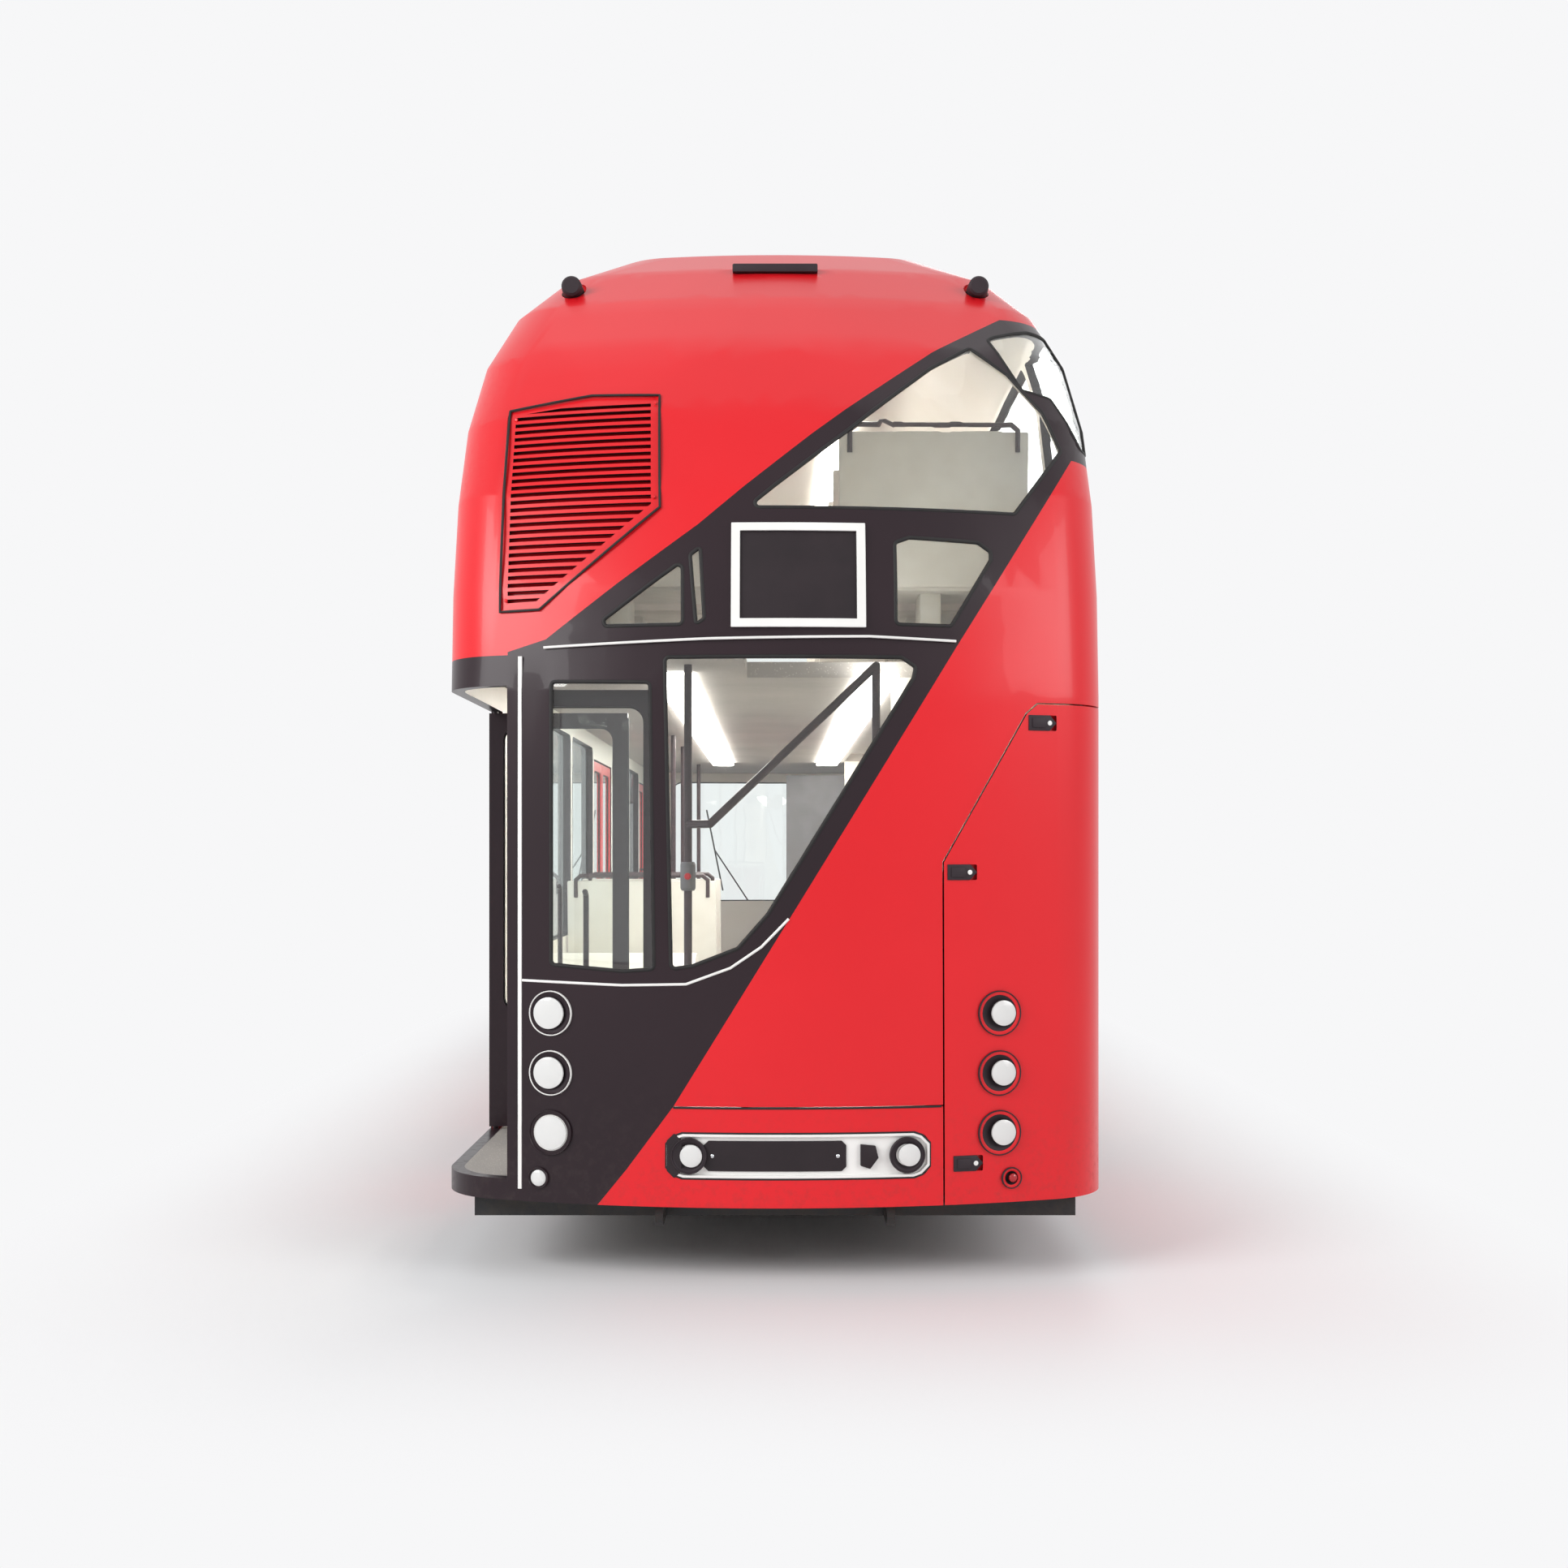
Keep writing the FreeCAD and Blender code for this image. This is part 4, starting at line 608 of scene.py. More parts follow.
def wool_moquette(name):
    """Wool moquette, a cut pile woven in 30 mm checks with small dots 45 mm apart: a soft sheen
    at glancing light and a short nap of 1.5 mm tufts."""
    made, tree, shader, place = finish_tree(
        name, {"Roughness": 0.9, "Sheen Weight": 0.5, "Sheen Roughness": 0.4, "IOR": 1.45}
    )
    woven = {"Vector": place, "Scale": 33, "Color1": linear("8A2C38"), "Color2": linear("6A3048")}
    checks = add(tree, "TexChecker", "Color", woven)
    spots = add(tree, "TexVoronoi", "Distance", {"Vector": place, "Scale": 22, "Randomness": 0.0})
    dotted = {"Value": spots, "From Min": 0.16, "From Max": 0.2, "To Min": 0.8, "To Max": 0.0}
    dot = add(tree, "MapRange", "Result", dotted)
    pattern = add(tree, "MixRGB", "Color", {0: dot, 1: checks, 2: linear("D0AA70")})
    pile = add(tree, "TexNoise", "Fac", {"Vector": place, "Scale": 660, "Detail": 2})
    nap = add(tree, "Bump", "Normal", {"Height": pile, "Distance": 0.6 * MM, "Strength": 0.7})
    fill(tree, shader, {"Base Color": pattern, "Normal": nap})
    return made


def safety_vinyl(name):
    """Rolled safety vinyl, matt so that wet shoes grip, worn paler in places. Its pale quartz
    flecks are 12 mm apart, coarser than the real 5 mm, so that they show."""
    made, tree, shader, place = finish_tree(name, {"IOR": 1.5, "Roughness": 0.7})
    cell = add(tree, "TexVoronoi", "Distance", {"Vector": place, "Scale": 83})
    flecked = {"Value": cell, "From Min": 0.12, "From Max": 0.2, "To Min": 1.0, "To Max": 0.0}
    fleck = add(tree, "MapRange", "Result", flecked)
    worn = add(tree, "TexNoise", "Fac", {"Vector": place, "Scale": 2, "Detail": 3})
    base = add(tree, "MixRGB", "Color", {0: worn, 1: linear("948F8C"), 2: linear("B0ABA6")})
    tone = add(tree, "MixRGB", "Color", {0: fleck, 1: base, 2: linear("DCD8D2")})
    grit = add(tree, "TexNoise", "Fac", {"Vector": place, "Scale": 500, "Detail": 2})
    skin = add(tree, "Bump", "Normal", {"Height": grit, "Distance": 0.2 * MM, "Strength": 0.5})
    fill(tree, shader, {"Base Color": tone, "Normal": skin})
    return made


def gel_coat(name, colour, darker, roughness, glow=0.0):
    """Glass fibre with a satin gel coat: its shine wavers over 60 mm waves from the mould, and
    its tone over 0.4 m. With a glow it is the diffuser of a light."""
    satin = {"IOR": 1.5, "Roughness": roughness, "Emission Strength": glow}
    satin["Emission Color"] = linear("FFFBF4")
    made, tree, shader, place = finish_tree(name, satin)
    cloud = add(tree, "TexNoise", "Fac", {"Vector": place, "Scale": 2.5, "Detail": 3})
    tone = add(tree, "MapRange", "Result", {"Value": cloud, "From Min": 0.3, "From Max": 0.7})
    shade = add(tree, "MixRGB", "Color", {0: tone, 1: linear(colour), 2: linear(darker)})
    wave = add(tree, "TexNoise", "Fac", {"Vector": place, "Scale": 16, "Detail": 2})
    skin = add(tree, "Bump", "Normal", {"Height": wave, "Distance": 0.3 * MM, "Strength": 0.3})
    fill(tree, shader, {"Base Color": shade, "Normal": skin})
    return made


# Body: the drawing's warm red, its near black with a purple cast, and the white of its beads.
red_enamel = coach_enamel("red_coach_enamel", "E31A24", "DE1721", "6B3A34", 1.4)
dark_enamel = coach_enamel("aubergine_coach_enamel", "2A1C22", "25181E", "4A403C", 1.32)
white_enamel = gel_coat("white_trim_enamel", "F6F5F2", "EFEEEA", 0.3)

# Panes show the saloon, mirrors the backdrop, and lenses scatter what lies behind them.
clear_glass = toughened_glass("toughened_glass", "FAFDFC")
mirror_silver = drawn_metal("silvered_mirror_glass", "E8ECEE", "E2E7EA", 0.03, (5, 5, 5))
clear_lens = moulded_lens("clear_polycarbonate", "FAFAF8", 0.25)
amber_lens = moulded_lens("amber_polycarbonate", "E07A10", 0.4)
red_lens = moulded_lens("red_polycarbonate", "C81420", 0.3)

# Bright metal glints in the lamps' bowls, in screws and in the wheels' nuts.
chrome = drawn_metal("metallised_reflector", "E4E5E6", "D2D4D6", 0.08, (160, 160, 4))
bright_trim = drawn_metal("anodised_aluminium", "DADCDE", "C2C5C8", 0.28, (300, 300, 8))

# Rubber draws dull black lines round the panes and panels, and the treads are grey with dust.
gasket_rubber = dusty_rubber("epdm_rubber", "1B191A", "3A3836", 0.4)
tyre_rubber = dusty_rubber("tyre_rubber", "1D1C1C", "5C564F", 0.6)

# Plastics, films, stoved wheel enamel and powder coats: even, satin and softly grained.
black_plastic = moulded_plastic("black_abs", "221E20", "2B2729", 1.2 * MM, 0.5)
grey_plastic = moulded_plastic("grey_abs", "6C6B6E", "77767A", 1.2 * MM, 0.5)
pale_shell = moulded_plastic("pale_seat_shell_abs", "DEDAD2", "E6E3DC", 1.2 * MM, 0.45)
# Dark nylon for the lamps, latches and roof lamps. The same finish is also the painted shade in the
# grille's slots.
dark_nylon_and_slot_shade = moulded_plastic("dark_nylon_and_painted_slot_shade", "2B2227", "31282D", 1.0 * MM, 0.6)
blind_film = moulded_plastic("black_blind_film", "221A1E", "281F23", 2 * MM, 0.5)
wheel_enamel = moulded_plastic("silver_wheel_enamel", "85878A", "94969A", 2 * MM, 0.4)
rail_coat = moulded_plastic("bronze_powder_coat", "3A2C30", "46363A", 1.5 * MM, 0.35)
nosing_yellow = moulded_plastic("yellow_nosing_pvc", "E2B21C", "E8BC30", 1.5 * MM, 0.5)
bell_red = moulded_plastic("red_push_button", "C01820", "CC2028", 1.0 * MM, 0.35)

# The chassis stays in shadow, nearly black, with dust on it.
chassis_paint = painted_casting("black_chassis_paint", "1D1D1F", "4A443F")
cast_iron = painted_casting("sand_cast_iron", "2A2B2D", "4F4943")

# What the windows show inside: wine red cloth, a grey floor, cream walls and lit ceilings.
seat_cloth = wool_moquette("wool_moquette")
floor_vinyl = safety_vinyl("safety_vinyl")
lining = gel_coat("cream_gel_coat", "F4F0E8", "ECE7DC", 0.35)
light_diffuser = gel_coat("ceiling_light_diffuser", "FFFFFF", "FAFAF8", 0.4, 16.0)


# The frame's nodes. Most keep their shape, shaded smooth across their facets.

node_finish = {
    "floor_lower": floor_vinyl,
    "floor_upper": floor_vinyl,
    "windows_rear": clear_glass,
    "windscreens": clear_glass,
    "windows_nearside": clear_glass,
    "windows_offside": clear_glass,
    "wheel_boxes": lining,
    "staircases": lining,
    "handrails": rail_coat,
    "stair_rail": rail_coat,
    "driver_cab": grey_plastic,
    "engine_block": cast_iron,
    "engine_housing": lining,
    "underframe": chassis_paint,
    "rear_axle": cast_iron,
    "front_axle": cast_iron,
    "knuckle_left": cast_iron,
    "knuckle_right": cast_iron,
    "rim_front_left": wheel_enamel,
    "rim_front_right": wheel_enamel,
    "rims_rear_left": wheel_enamel,
    "rims_rear_right": wheel_enamel,
    "mirrors": black_plastic,
}
for leaf in leaf_names:
    node_finish["leaf_" + leaf] = red_enamel
for leaf in platform_leaf_names:
    node_finish["leaf_" + leaf] = dark_enamel
for leaf in all_leaf_names:
    node_finish["leaf_glass_" + leaf] = clear_glass

shell_finish = {
    "roof_panel": red_enamel,
    "rear_panel": red_enamel,
    "rear_bumper": red_enamel,
    "rear_frame": dark_enamel,
    "front_panels": red_enamel,
    "front_frames": dark_enamel,
    "side_panels_nearside": red_enamel,
    "side_panels_offside": red_enamel,
    "side_frames_nearside": dark_enamel,
    "side_frames_offside": dark_enamel,
}


# A slat's front looks straight out of the tail by at least this cosine.
slat_least = 0.5


def in_painted_slot_shade(place, normal):
    """True for a face of the grille inside a slot or behind the slats: these faces take painted
    shade.
    """
    return normal.dot(from_bow(place)) < slat_least


def dress_nodes():
    """Finishes of the nodes that stay, and of the shell, which is lined inside."""
    for name, finish in node_finish.items():
        node = pick(frame["nodes"][name])
        bpy.ops.object.shade_smooth()
        node.data.materials.clear()
        node.data.materials.append(finish)
        weld = node.modifiers.new("weld", "WELD")
        weld.merge_threshold = SAME_POINT
        split = node.modifiers.new("split", "EDGE_SPLIT")
        split.split_angle = SMOOTH_ANGLE
    for name, finish in shell_finish.items():
        two_tone(name, name + "_lined", finish, lining, inward_side)
    two_tone("engine_door", "engine_door_lined", red_enamel, dark_nylon_and_slot_shade, inward_side, "engine_door")
    # The grille's slots and the faces behind its slats are painted dark as painted shade.
    two_tone("rear_grille", "rear_grille_slats", red_enamel, dark_nylon_and_slot_shade, in_painted_slot_shade)


# Rubbers round the panes

# A pane's face looks outwards by more than this cosine, and its edge and inner face by less.
outward_least = 0.62

# Radius of the beads round the panes of the body, of the windscreens and of the doors' leaves.
body_rubber = 8 * MM
windscreen_rubber = 10 * MM
leaf_rubber = 6 * MM


def pane_rubber(node, name, radius, outward, body="bus"):
    """A rubber bead that follows the outer edge of each pane of a node."""
    sheet = merged_copy(node, name)
    faces_picked(sheet, lambda place, normal: normal.dot(outward(place)) < outward_least)
    bpy.ops.mesh.delete(type="FACE")
    bpy.ops.mesh.select_mode(type="EDGE")
    bpy.ops.mesh.select_all(action="DESELECT")
    bpy.ops.mesh.select_non_manifold()
    bpy.ops.mesh.select_all(action="INVERT")
    bpy.ops.mesh.delete(type="EDGE")
    bpy.ops.mesh.select_all(action="SELECT")
    bpy.ops.mesh.delete(type="ONLY_FACE")
    bpy.ops.mesh.select_mode(type="VERT")
    closed()
    sheet.data.materials.clear()
    bpy.ops.object.convert(target="CURVE")
    bead = bpy.context.object
    bead.data.bevel_depth = radius
    bead.data.bevel_resolution = 2
    bpy.ops.object.convert(target="MESH")
    bead = smooth(bpy.context.object, SOFT_ANGLE)
    bead.name = name
    return ready(bead, gasket_rubber, body)


def to_side(place):
    """Level direction out of the side that a place is on."""
    return ACROSS if place.x > 0 else -ACROSS


def build_rubbers():
    """Beads round every fixed pane, and on both faces of the panes in the leaves."""
    pane_rubber("windows_rear", "rear_window_rubber", body_rubber, from_bow)
    pane_rubber("windscreens", "windscreen_rubber", windscreen_rubber, from_bow)
    pane_rubber("windows_nearside", "nearside_window_rubber", body_rubber, to_side)
    pane_rubber("windows_offside", "offside_window_rubber", body_rubber, to_side)
    for leaf in all_leaf_names:
        node = "leaf_glass_" + leaf
        low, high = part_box(node)
        facing = ACROSS if high.x - low.x < high.y - low.y else AHEAD
        for word, way in (("inner", facing), ("outer", -facing)):
            name = "leaf_rubber_" + word + "_" + leaf
            body = "leaf_" + leaf
            pane_rubber(node, name, leaf_rubber, lambda place, way=way: way, body)


# Lamps

# How far a lamp's parts stand out from the skin, how deep its bowl is and how thick its walls are.
lamp_lip = 4 * MM
lamp_root = -5 * MM
rim_proud = 9 * MM
plate_proud = 6 * MM
bowl_mouth = 3 * MM
bowl_depth = 20 * MM
bowl_wall = 3 * MM
lens_proud = 12 * MM
lens_root = -3 * MM
lens_shoulder = 9 * MM
lens_crown = 11 * MM

# A bowl's waist, floor and outer waist as shares of its radius, and a lens's shoulder, crown,
# inner crown and inner edge and its bulb's root and top as shares of the lens's radius.
bowl_waist = 0.75
bowl_floor = 0.3
bowl_outside = 0.85
shoulder_width = 0.8
crown_width = 0.45
inner_crown_width = 0.5
inner_edge_width = 0.85
bulb_root = 0.4
bulb_top = 0.3


def lamp(name, centre, way, radius, lens_radius, shift, looks, body):
    """A round lamp: a thin rim, a stepped plate, a bowl with its bulb, and a domed lens that may
    sit to one side of the bowl's middle."""
    rim_finish, plate_finish, bowl_finish, lens_finish = looks
    plate = radius - lamp_lip
    bowl = min(radius - 3 * lamp_lip, lens_radius + abs(shift) + lamp_lip)
    rim_profile = [(lamp_root, radius), (rim_proud, radius)]
    rim_profile += [(rim_proud + 2 * MM, radius - lamp_lip / 2)]
    rim_profile += [(rim_proud, plate), (lamp_root, plate)]
    plate_profile = [(-plate_proud, plate), (plate_proud, plate), (plate_proud, bowl + lamp_lip)]
    plate_profile += [(bowl_mouth, bowl), (-plate_proud, bowl)]
    bowl_profile = [(bowl_mouth, bowl), (-bowl_depth / 2, bowl * bowl_waist)]
    bowl_profile += [(-bowl_depth, bowl * bowl_floor)]
    bowl_profile += [(-bowl_depth, 0), (-bowl_depth - bowl_wall, 0)]
    bowl_profile += [(-bowl_depth / 2, bowl * bowl_outside), (0, bowl + bowl_wall)]
    bowl_profile += [(bowl_mouth, bowl + bowl_wall)]
    lens_profile = [(lens_root, lens_radius), (lens_proud / 2, lens_radius)]
    lens_profile += [(lens_shoulder, lens_radius * shoulder_width)]
    lens_profile += [(lens_crown, lens_radius * crown_width), (lens_proud, 0)]
    lens_profile += [(lens_proud - 4 * MM, 0)]
    lens_profile += [(lens_proud - 5 * MM, lens_radius * inner_crown_width)]
    lens_profile += [(lens_root, lens_radius * inner_edge_width)]
    bulb_profile = [(-bowl_depth, 0), (-bowl_depth, lens_radius * bulb_root)]
    bulb_profile += [(-4 * MM, lens_radius * bulb_top), (0, 0)]
    lens_place = centre + UP.cross(way) * shift
    made = []
    for word, finish, profile, place in (
        ("rim", rim_finish, rim_profile, centre),
        ("plate", plate_finish, plate_profile, centre),
        ("bowl", bowl_finish, bowl_profile, centre),
        ("lens", lens_finish, lens_profile, lens_place),
        ("bulb", chrome, bulb_profile, lens_place),
    ):
        made.append(ready(turned(name + "_" + word, profile, place, way, steps=40), finish, body))
    return made


# Finishes of a lamp's rim, plate, bowl and lens.
ringed_looks = (white_enamel, dark_enamel, dark_nylon_and_slot_shade, clear_lens)
plain_looks = (dark_enamel, dark_enamel, white_enamel, clear_lens)
right_looks = (dark_nylon_and_slot_shade, red_enamel, dark_nylon_and_slot_shade, clear_lens)
reflector_looks = (dark_nylon_and_slot_shade, red_enamel, dark_nylon_and_slot_shade, red_lens)
tray_looks = (dark_nylon_and_slot_shade, dark_nylon_and_slot_shade, dark_nylon_and_slot_shade, clear_lens)
head_looks = (bright_trim, chrome, chrome, clear_lens)
turn_looks = (bright_trim, chrome, chrome, amber_lens)

# What tells the lamps apart: the dome's are above dome_z, a round one is no smaller than
# least_radius, the tray's two are within tray_reach of the middle, the ringed ones on the left
# are above ringed_z, the reflector on the right is below reflector_z, and the nose's turn lamps
# are above turn_z.
dome_z = 3.5
least_radius = 35 * MM
tray_reach = 0.7
ringed_z = 0.6
reflector_z = 0.45
turn_z = 0.8


def round_lamps(node, body, choose):
    """A built lamp for each round lamp of a node. Returns the pieces made."""
    made = []
    for i, (low, high) in enumerate(solids_of(node)):
        centre = (low + high) / 2
        radius = (high.z - low.z) / 2
        if centre.z > dome_z or radius < least_radius:
            continue
        way = from_bow(centre)
        face = bow_centre(centre) + way * bow_radius
        looks, lens_share, shift = choose(centre)
        name = node + "_" + str(i)
        made += lamp(name, face, way, radius, radius * lens_share, radius * shift, looks, body)
    return made


def choose_tail(centre):
    """A tail lamp's looks, and its lens's size and sideways shift as shares of its radius, as the
    drawing shows each."""
    if abs(centre.x) < tray_reach:
        return tray_looks, 0.62, 0.12
    if centre.x < 0 and centre.z > ringed_z:
        return ringed_looks, 0.7, -0.1
    if centre.x < 0:
        return plain_looks, 0.75, 0
    if centre.z < reflector_z:
        return reflector_looks, 0.4, 0.15
    return right_looks, 0.56, 0.2


def choose_nose(centre):
    """A nose lamp's looks, with a lens that fills most of it."""
    return (turn_looks if centre.z > turn_z else head_looks), 0.8, 0


# Latches of the engine's door: outlines in metres across and up, and the key's place and profile.
latch_outline = ((-0.058, -0.029), (0.028, -0.029), (0.056, 0), (0.030, 0.029), (-0.058, 0.029))
paddle_outline = ((-0.044, -0.018), (0.006, -0.018), (0.012, 0), (0.006, 0.018), (-0.044, 0.018))
latch_depths = (-10 * MM, 4 * MM)
paddle_depths = (2 * MM, 9 * MM)
latch_tallest = 70 * MM
key_shift = 28 * MM
key_profile = ((-4 * MM, 0), (-4 * MM, 9 * MM), (5 * MM, 9 * MM), (6 * MM, 7 * MM), (6 * MM, 0))


def build_latches():
    """Paddle latches of the engine's door, each with its key barrel."""
    pieces = []
    for low, high in solids_of("engine_door_lamps"):
        if high.z - low.z > latch_tallest:
            continue
        centre = (low + high) / 2
        plate = slab("latch", centre.x, centre.z, -1, latch_outline, latch_depths)
        paddle = slab("paddle", centre.x, centre.z, -1, paddle_outline, paddle_depths)
        pieces.append(ready(joined("latch", [plate, paddle]), dark_nylon_and_slot_shade, "engine_door"))
        spot = on_end(centre.x, centre.z, -1)
        way = from_bow(spot)
        key = turned("latch_key", key_profile, spot + UP.cross(way) * key_shift, way, steps=20)
        pieces.append(ready(key, white_enamel, "engine_door"))
    return pieces


# The dome's lamps: a wider one than this is the slot lamp. A marker's barrel is slimmer than
# its solid by one share and sits lower by another, and its profile is in shares of its length
# ahead of the middle and of its radius.
slot_lamp_width = 0.2
barrel_share = 0.8
barrel_drop = 0.2
barrel_profile = ((-1, 0), (-1, 0.75), (-0.9, 0.95), (-0.5, 1), (1, 1), (1, 0))


def build_roof_lamps():
    """The slot lamp at the top of the dome and the two marker lamps beside it."""
    pieces = []
    for low, high in solids_of("rear_lamps"):
        if low.z < dome_z:
            continue
        if high.x - low.x > slot_lamp_width:
            pieces.append(ready(block("roof_slot_lamp", low, high, round_edge=6 * MM), dark_nylon_and_slot_shade))
            continue
        centre = (low + high) / 2
        radius = (high.x - low.x) / 2 * barrel_share
        front = high.y - centre.y
        centre.z -= radius * barrel_drop
        profile = [(front * along, radius * width) for along, width in barrel_profile]
        pieces.append(ready(turned("roof_marker", profile, centre, AHEAD, steps=32), dark_nylon_and_slot_shade))
    return pieces


def build_lamps():
    """All lamps and latches, in place of the frame's plain ones."""
    tail = round_lamps("rear_lamps", "bus", choose_tail) + build_roof_lamps()
    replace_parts(tail[0], "rear_lamps")
    right = round_lamps("engine_door_lamps", "engine_door", choose_tail) + build_latches()
    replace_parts(right[0], "engine_door_lamps")
    nose = round_lamps("front_lamps", "bus", choose_nose)
    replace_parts(nose[0], "front_lamps")


# Route boxes and the plate's tray

# The boxes' low and high corners in x and z. A box's film and case sit inside its rim.
route_boxes = (
    ("rear", -1, (-0.16, 2.424), (0.33, 2.820)),
    ("front", 1, (-0.59, 2.480), (0.59, 2.840)),
)
box_rim = 32 * MM
box_gap = 4 * MM
box_rim_depths = (-30 * MM, 8 * MM)
box_film_depths = (-12 * MM, -4 * MM)
box_case_depths = (-56 * MM, -14 * MM)

tray_x = 0.085
tray_z = 0.489
tray_half = 0.48
tray_half_height = 0.08
tray_chamfer = 40 * MM
tray_edge = 10 * MM
tray_back_depths = (-24 * MM, -10 * MM)
tray_edge_depths = (-20 * MM, 3 * MM)
gasket_reach = 7 * MM
gasket_rim = 8 * MM
gasket_depths = (-8 * MM, 2 * MM)
cap_width = 55 * MM
cap_chamfer = 25 * MM
cap_depths = (-12 * MM, 5 * MM)
plate_half = 0.26
plate_half_height = 0.0555
plate_chamfer = 16 * MM
plate_depths = (-12 * MM, -4 * MM)
plate_screw_inset = 30 * MM
knob_x = 0.346
knob_depths = (-12 * MM, 4 * MM)
knob_outline = ((-0.033, 0.042), (-0.033, -0.036), (0.002, -0.048), (0.033, -0.008), (0.022, 0.036))


def build_signs():
    """Blank route boxes, each a white rim round a black film, and the plate's tray."""
    rims = []
    for word, end, low, high in route_boxes:
        rims.append(bowed("rim", low, high, end, box_rim_depths, 0, box_rim))
        low = (low[0] + box_gap, low[1] + box_gap)
        high = (high[0] - box_gap, high[1] - box_gap)
        ready(bowed("route_film_" + word, low, high, end, box_film_depths), blind_film)
        ready(bowed("route_case_" + word, low, high, end, box_case_depths), black_plastic)
    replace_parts(ready(joined("route_box_rims", rims), white_enamel), "route_boxes")
    build_tray()


def build_tray():
    """A white tray in a black gasket, with a black plate, a cap, a knob and two screws."""
    low = (tray_x - tray_half, tray_z - tray_half_height)
    high = (tray_x + tray_half, tray_z + tray_half_height)
    back = bowed("tray_back", low, high, -1, tray_back_depths, tray_chamfer)
    edge = bowed("tray_edge", low, high, -1, tray_edge_depths, tray_chamfer, tray_edge)
    tray = ready(joined("plate_tray_body", [back, edge]), white_enamel)
    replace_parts(tray, "plate_tray")
    wide_low = (low[0] - gasket_reach, low[1] - gasket_reach)
    wide_high = (high[0] + gasket_reach, high[1] + gasket_reach)
    gasket_cut = tray_chamfer + 2 * MM
    gasket = bowed(
        "tray_gasket", wide_low, wide_high, -1, gasket_depths, gasket_cut, gasket_rim
    )
    ready(gasket, gasket_rubber)
    cap_high = (low[0] + cap_width, high[1])
    cap = bowed("tray_cap", low, cap_high, -1, cap_depths, cap_chamfer)
    plate_low = (-plate_half, tray_z - plate_half_height)
    plate_high = (plate_half, tray_z + plate_half_height)
    plate = bowed("tray_plate", plate_low, plate_high, -1, plate_depths, plate_chamfer)
    knob = slab("tray_knob", knob_x, tray_z, -1, knob_outline, knob_depths)
    ready(joined("tray_darks", [cap, plate, knob]), blind_film)
    screw_x = plate_half - plate_screw_inset
    screws = [screw(x, tray_z, plate_depths[1]) for x in (-screw_x, screw_x)]
    ready(joined("plate_screws", screws), bright_trim)


screw_profile = ((-2 * MM, 0), (-2 * MM, 7 * MM), (1 * MM, 7 * MM), (3 * MM, 4 * MM), (3 * MM, 0))


def screw(x, z, proud):
    """A domed screw head on the tail."""
    spot = on_end(x, z, -1, proud)
    return turned("screw", screw_profile, spot, from_bow(spot), steps=16)


# Trim on the tail

# Lines over the seams, as (x, z) corners.
waist_trim = ((-0.860, 2.361), (-0.246, 2.382), (0.346, 2.391), (0.668, 2.379))
sill_trim = ((-0.942, 1.123), (-0.563, 1.111), (-0.326, 1.117), (-0.163, 1.177), (-0.050, 1.254))
sill_trim += ((0.050, 1.357),)
grille_line = ((-1.040, 3.332), (-0.713, 3.378), (-0.446, 3.365), (-0.430, 2.888))
grille_line += ((-0.880, 2.505), (-1.034, 2.502))
grille_screws = ((-1.012, 3.290), (-0.462, 3.330), (-0.455, 2.930), (-1.012, 2.545))
post_low = (-0.958, 0.345)
post_high = (-0.943, 2.331)
bumper_seam_x = (-0.372, 0.612)
bead_radius = 5 * MM
seam_radius = 4 * MM
bead_proud = 1 * MM
seam_proud = -1 * MM
post_depths = (-4 * MM, 3 * MM)


def build_trims():
    """White beads over the seams of the dark frame, and the grille's rubber and screws."""
    beads = [tube("waist", end_line(waist_trim, -1, bead_proud), bead_radius)]
    beads.append(tube("sill", end_line(sill_trim, -1, bead_proud), bead_radius))
    beads.append(bowed("post", post_low, post_high, -1, post_depths))
    ready(joined("seam_trims", beads), white_enamel)
    seam_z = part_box("rear_bumper")[1].z
    corners = [(x, seam_z) for x in bumper_seam_x]
    seam = tube("bumper_seam", end_line(corners, -1, seam_proud), seam_radius)
    ready(seam, gasket_rubber)
    outline = tube("grille_rubber", end_line(grille_line + grille_line[:1], -1, 0), bead_radius)
    ready(outline, gasket_rubber)
    ready(joined("grille_screws", [screw(x, z, 0) for x, z in grille_screws]), red_enamel)


# Wheels

# Radius of the tyres' beads and of the circle of nuts, and how far out the hubs' faces stand.
tyre_bead = 0.286
nut_circle = 0.145
nut_count = 10
front_hub_face = 0.088
rear_hub_face = 0.020

# The tread's shoulders and the places of its lugs, as shares of a tyre's half width.
shoulder_share = 0.84
lug_share = 0.83
tyre_steps = 96

# A tyre's wall: shares of its half width, with the way in from the tread and out from the bead.
upper_wall = ((0.94, 30 * MM), (0.985, 70 * MM))
lower_wall = ((0.97, 50 * MM), (0.88, 22 * MM), (0.86, 16 * MM), (0.78, 10 * MM), (0.76, 0))

# Grooves round the tread, as points across them and in from it, and lugs at its shoulders that
# reach to the left, to the right and in.
groove_count = 4
groove = ((-6 * MM, 1 * MM), (-4 * MM, 13 * MM), (4 * MM, 13 * MM), (6 * MM, 1 * MM))
crown_drop = 7 * MM
lug_count = 60
lug_half = 15 * MM
lug_left = 19 * MM
lug_right = 14 * MM
lug_root = 20 * MM
lug_top = 1 * MM


def tyre_section(half, radius):
    """Closed outline of a tyre's section: grooved crown, shoulders, bulged walls and beads."""
    shoulder = half * shoulder_share
    crown = [(-shoulder, radius - crown_drop)]
    for i in range(groove_count):
        middle = -shoulder + 2 * shoulder * (i + 1) / (groove_count + 1)
        for offset, sunk in groove:
            crown.append((middle + offset, radius - sunk))
    crown.append((shoulder, radius - crown_drop))
    right = [(half * share, radius - sunk) for share, sunk in upper_wall]
    right.append((half, (radius + tyre_bead) / 2))
    right += [(half * share, tyre_bead + height) for share, height in lower_wall]
    return crown + right + [(-along, height) for along, height in reversed(right)]


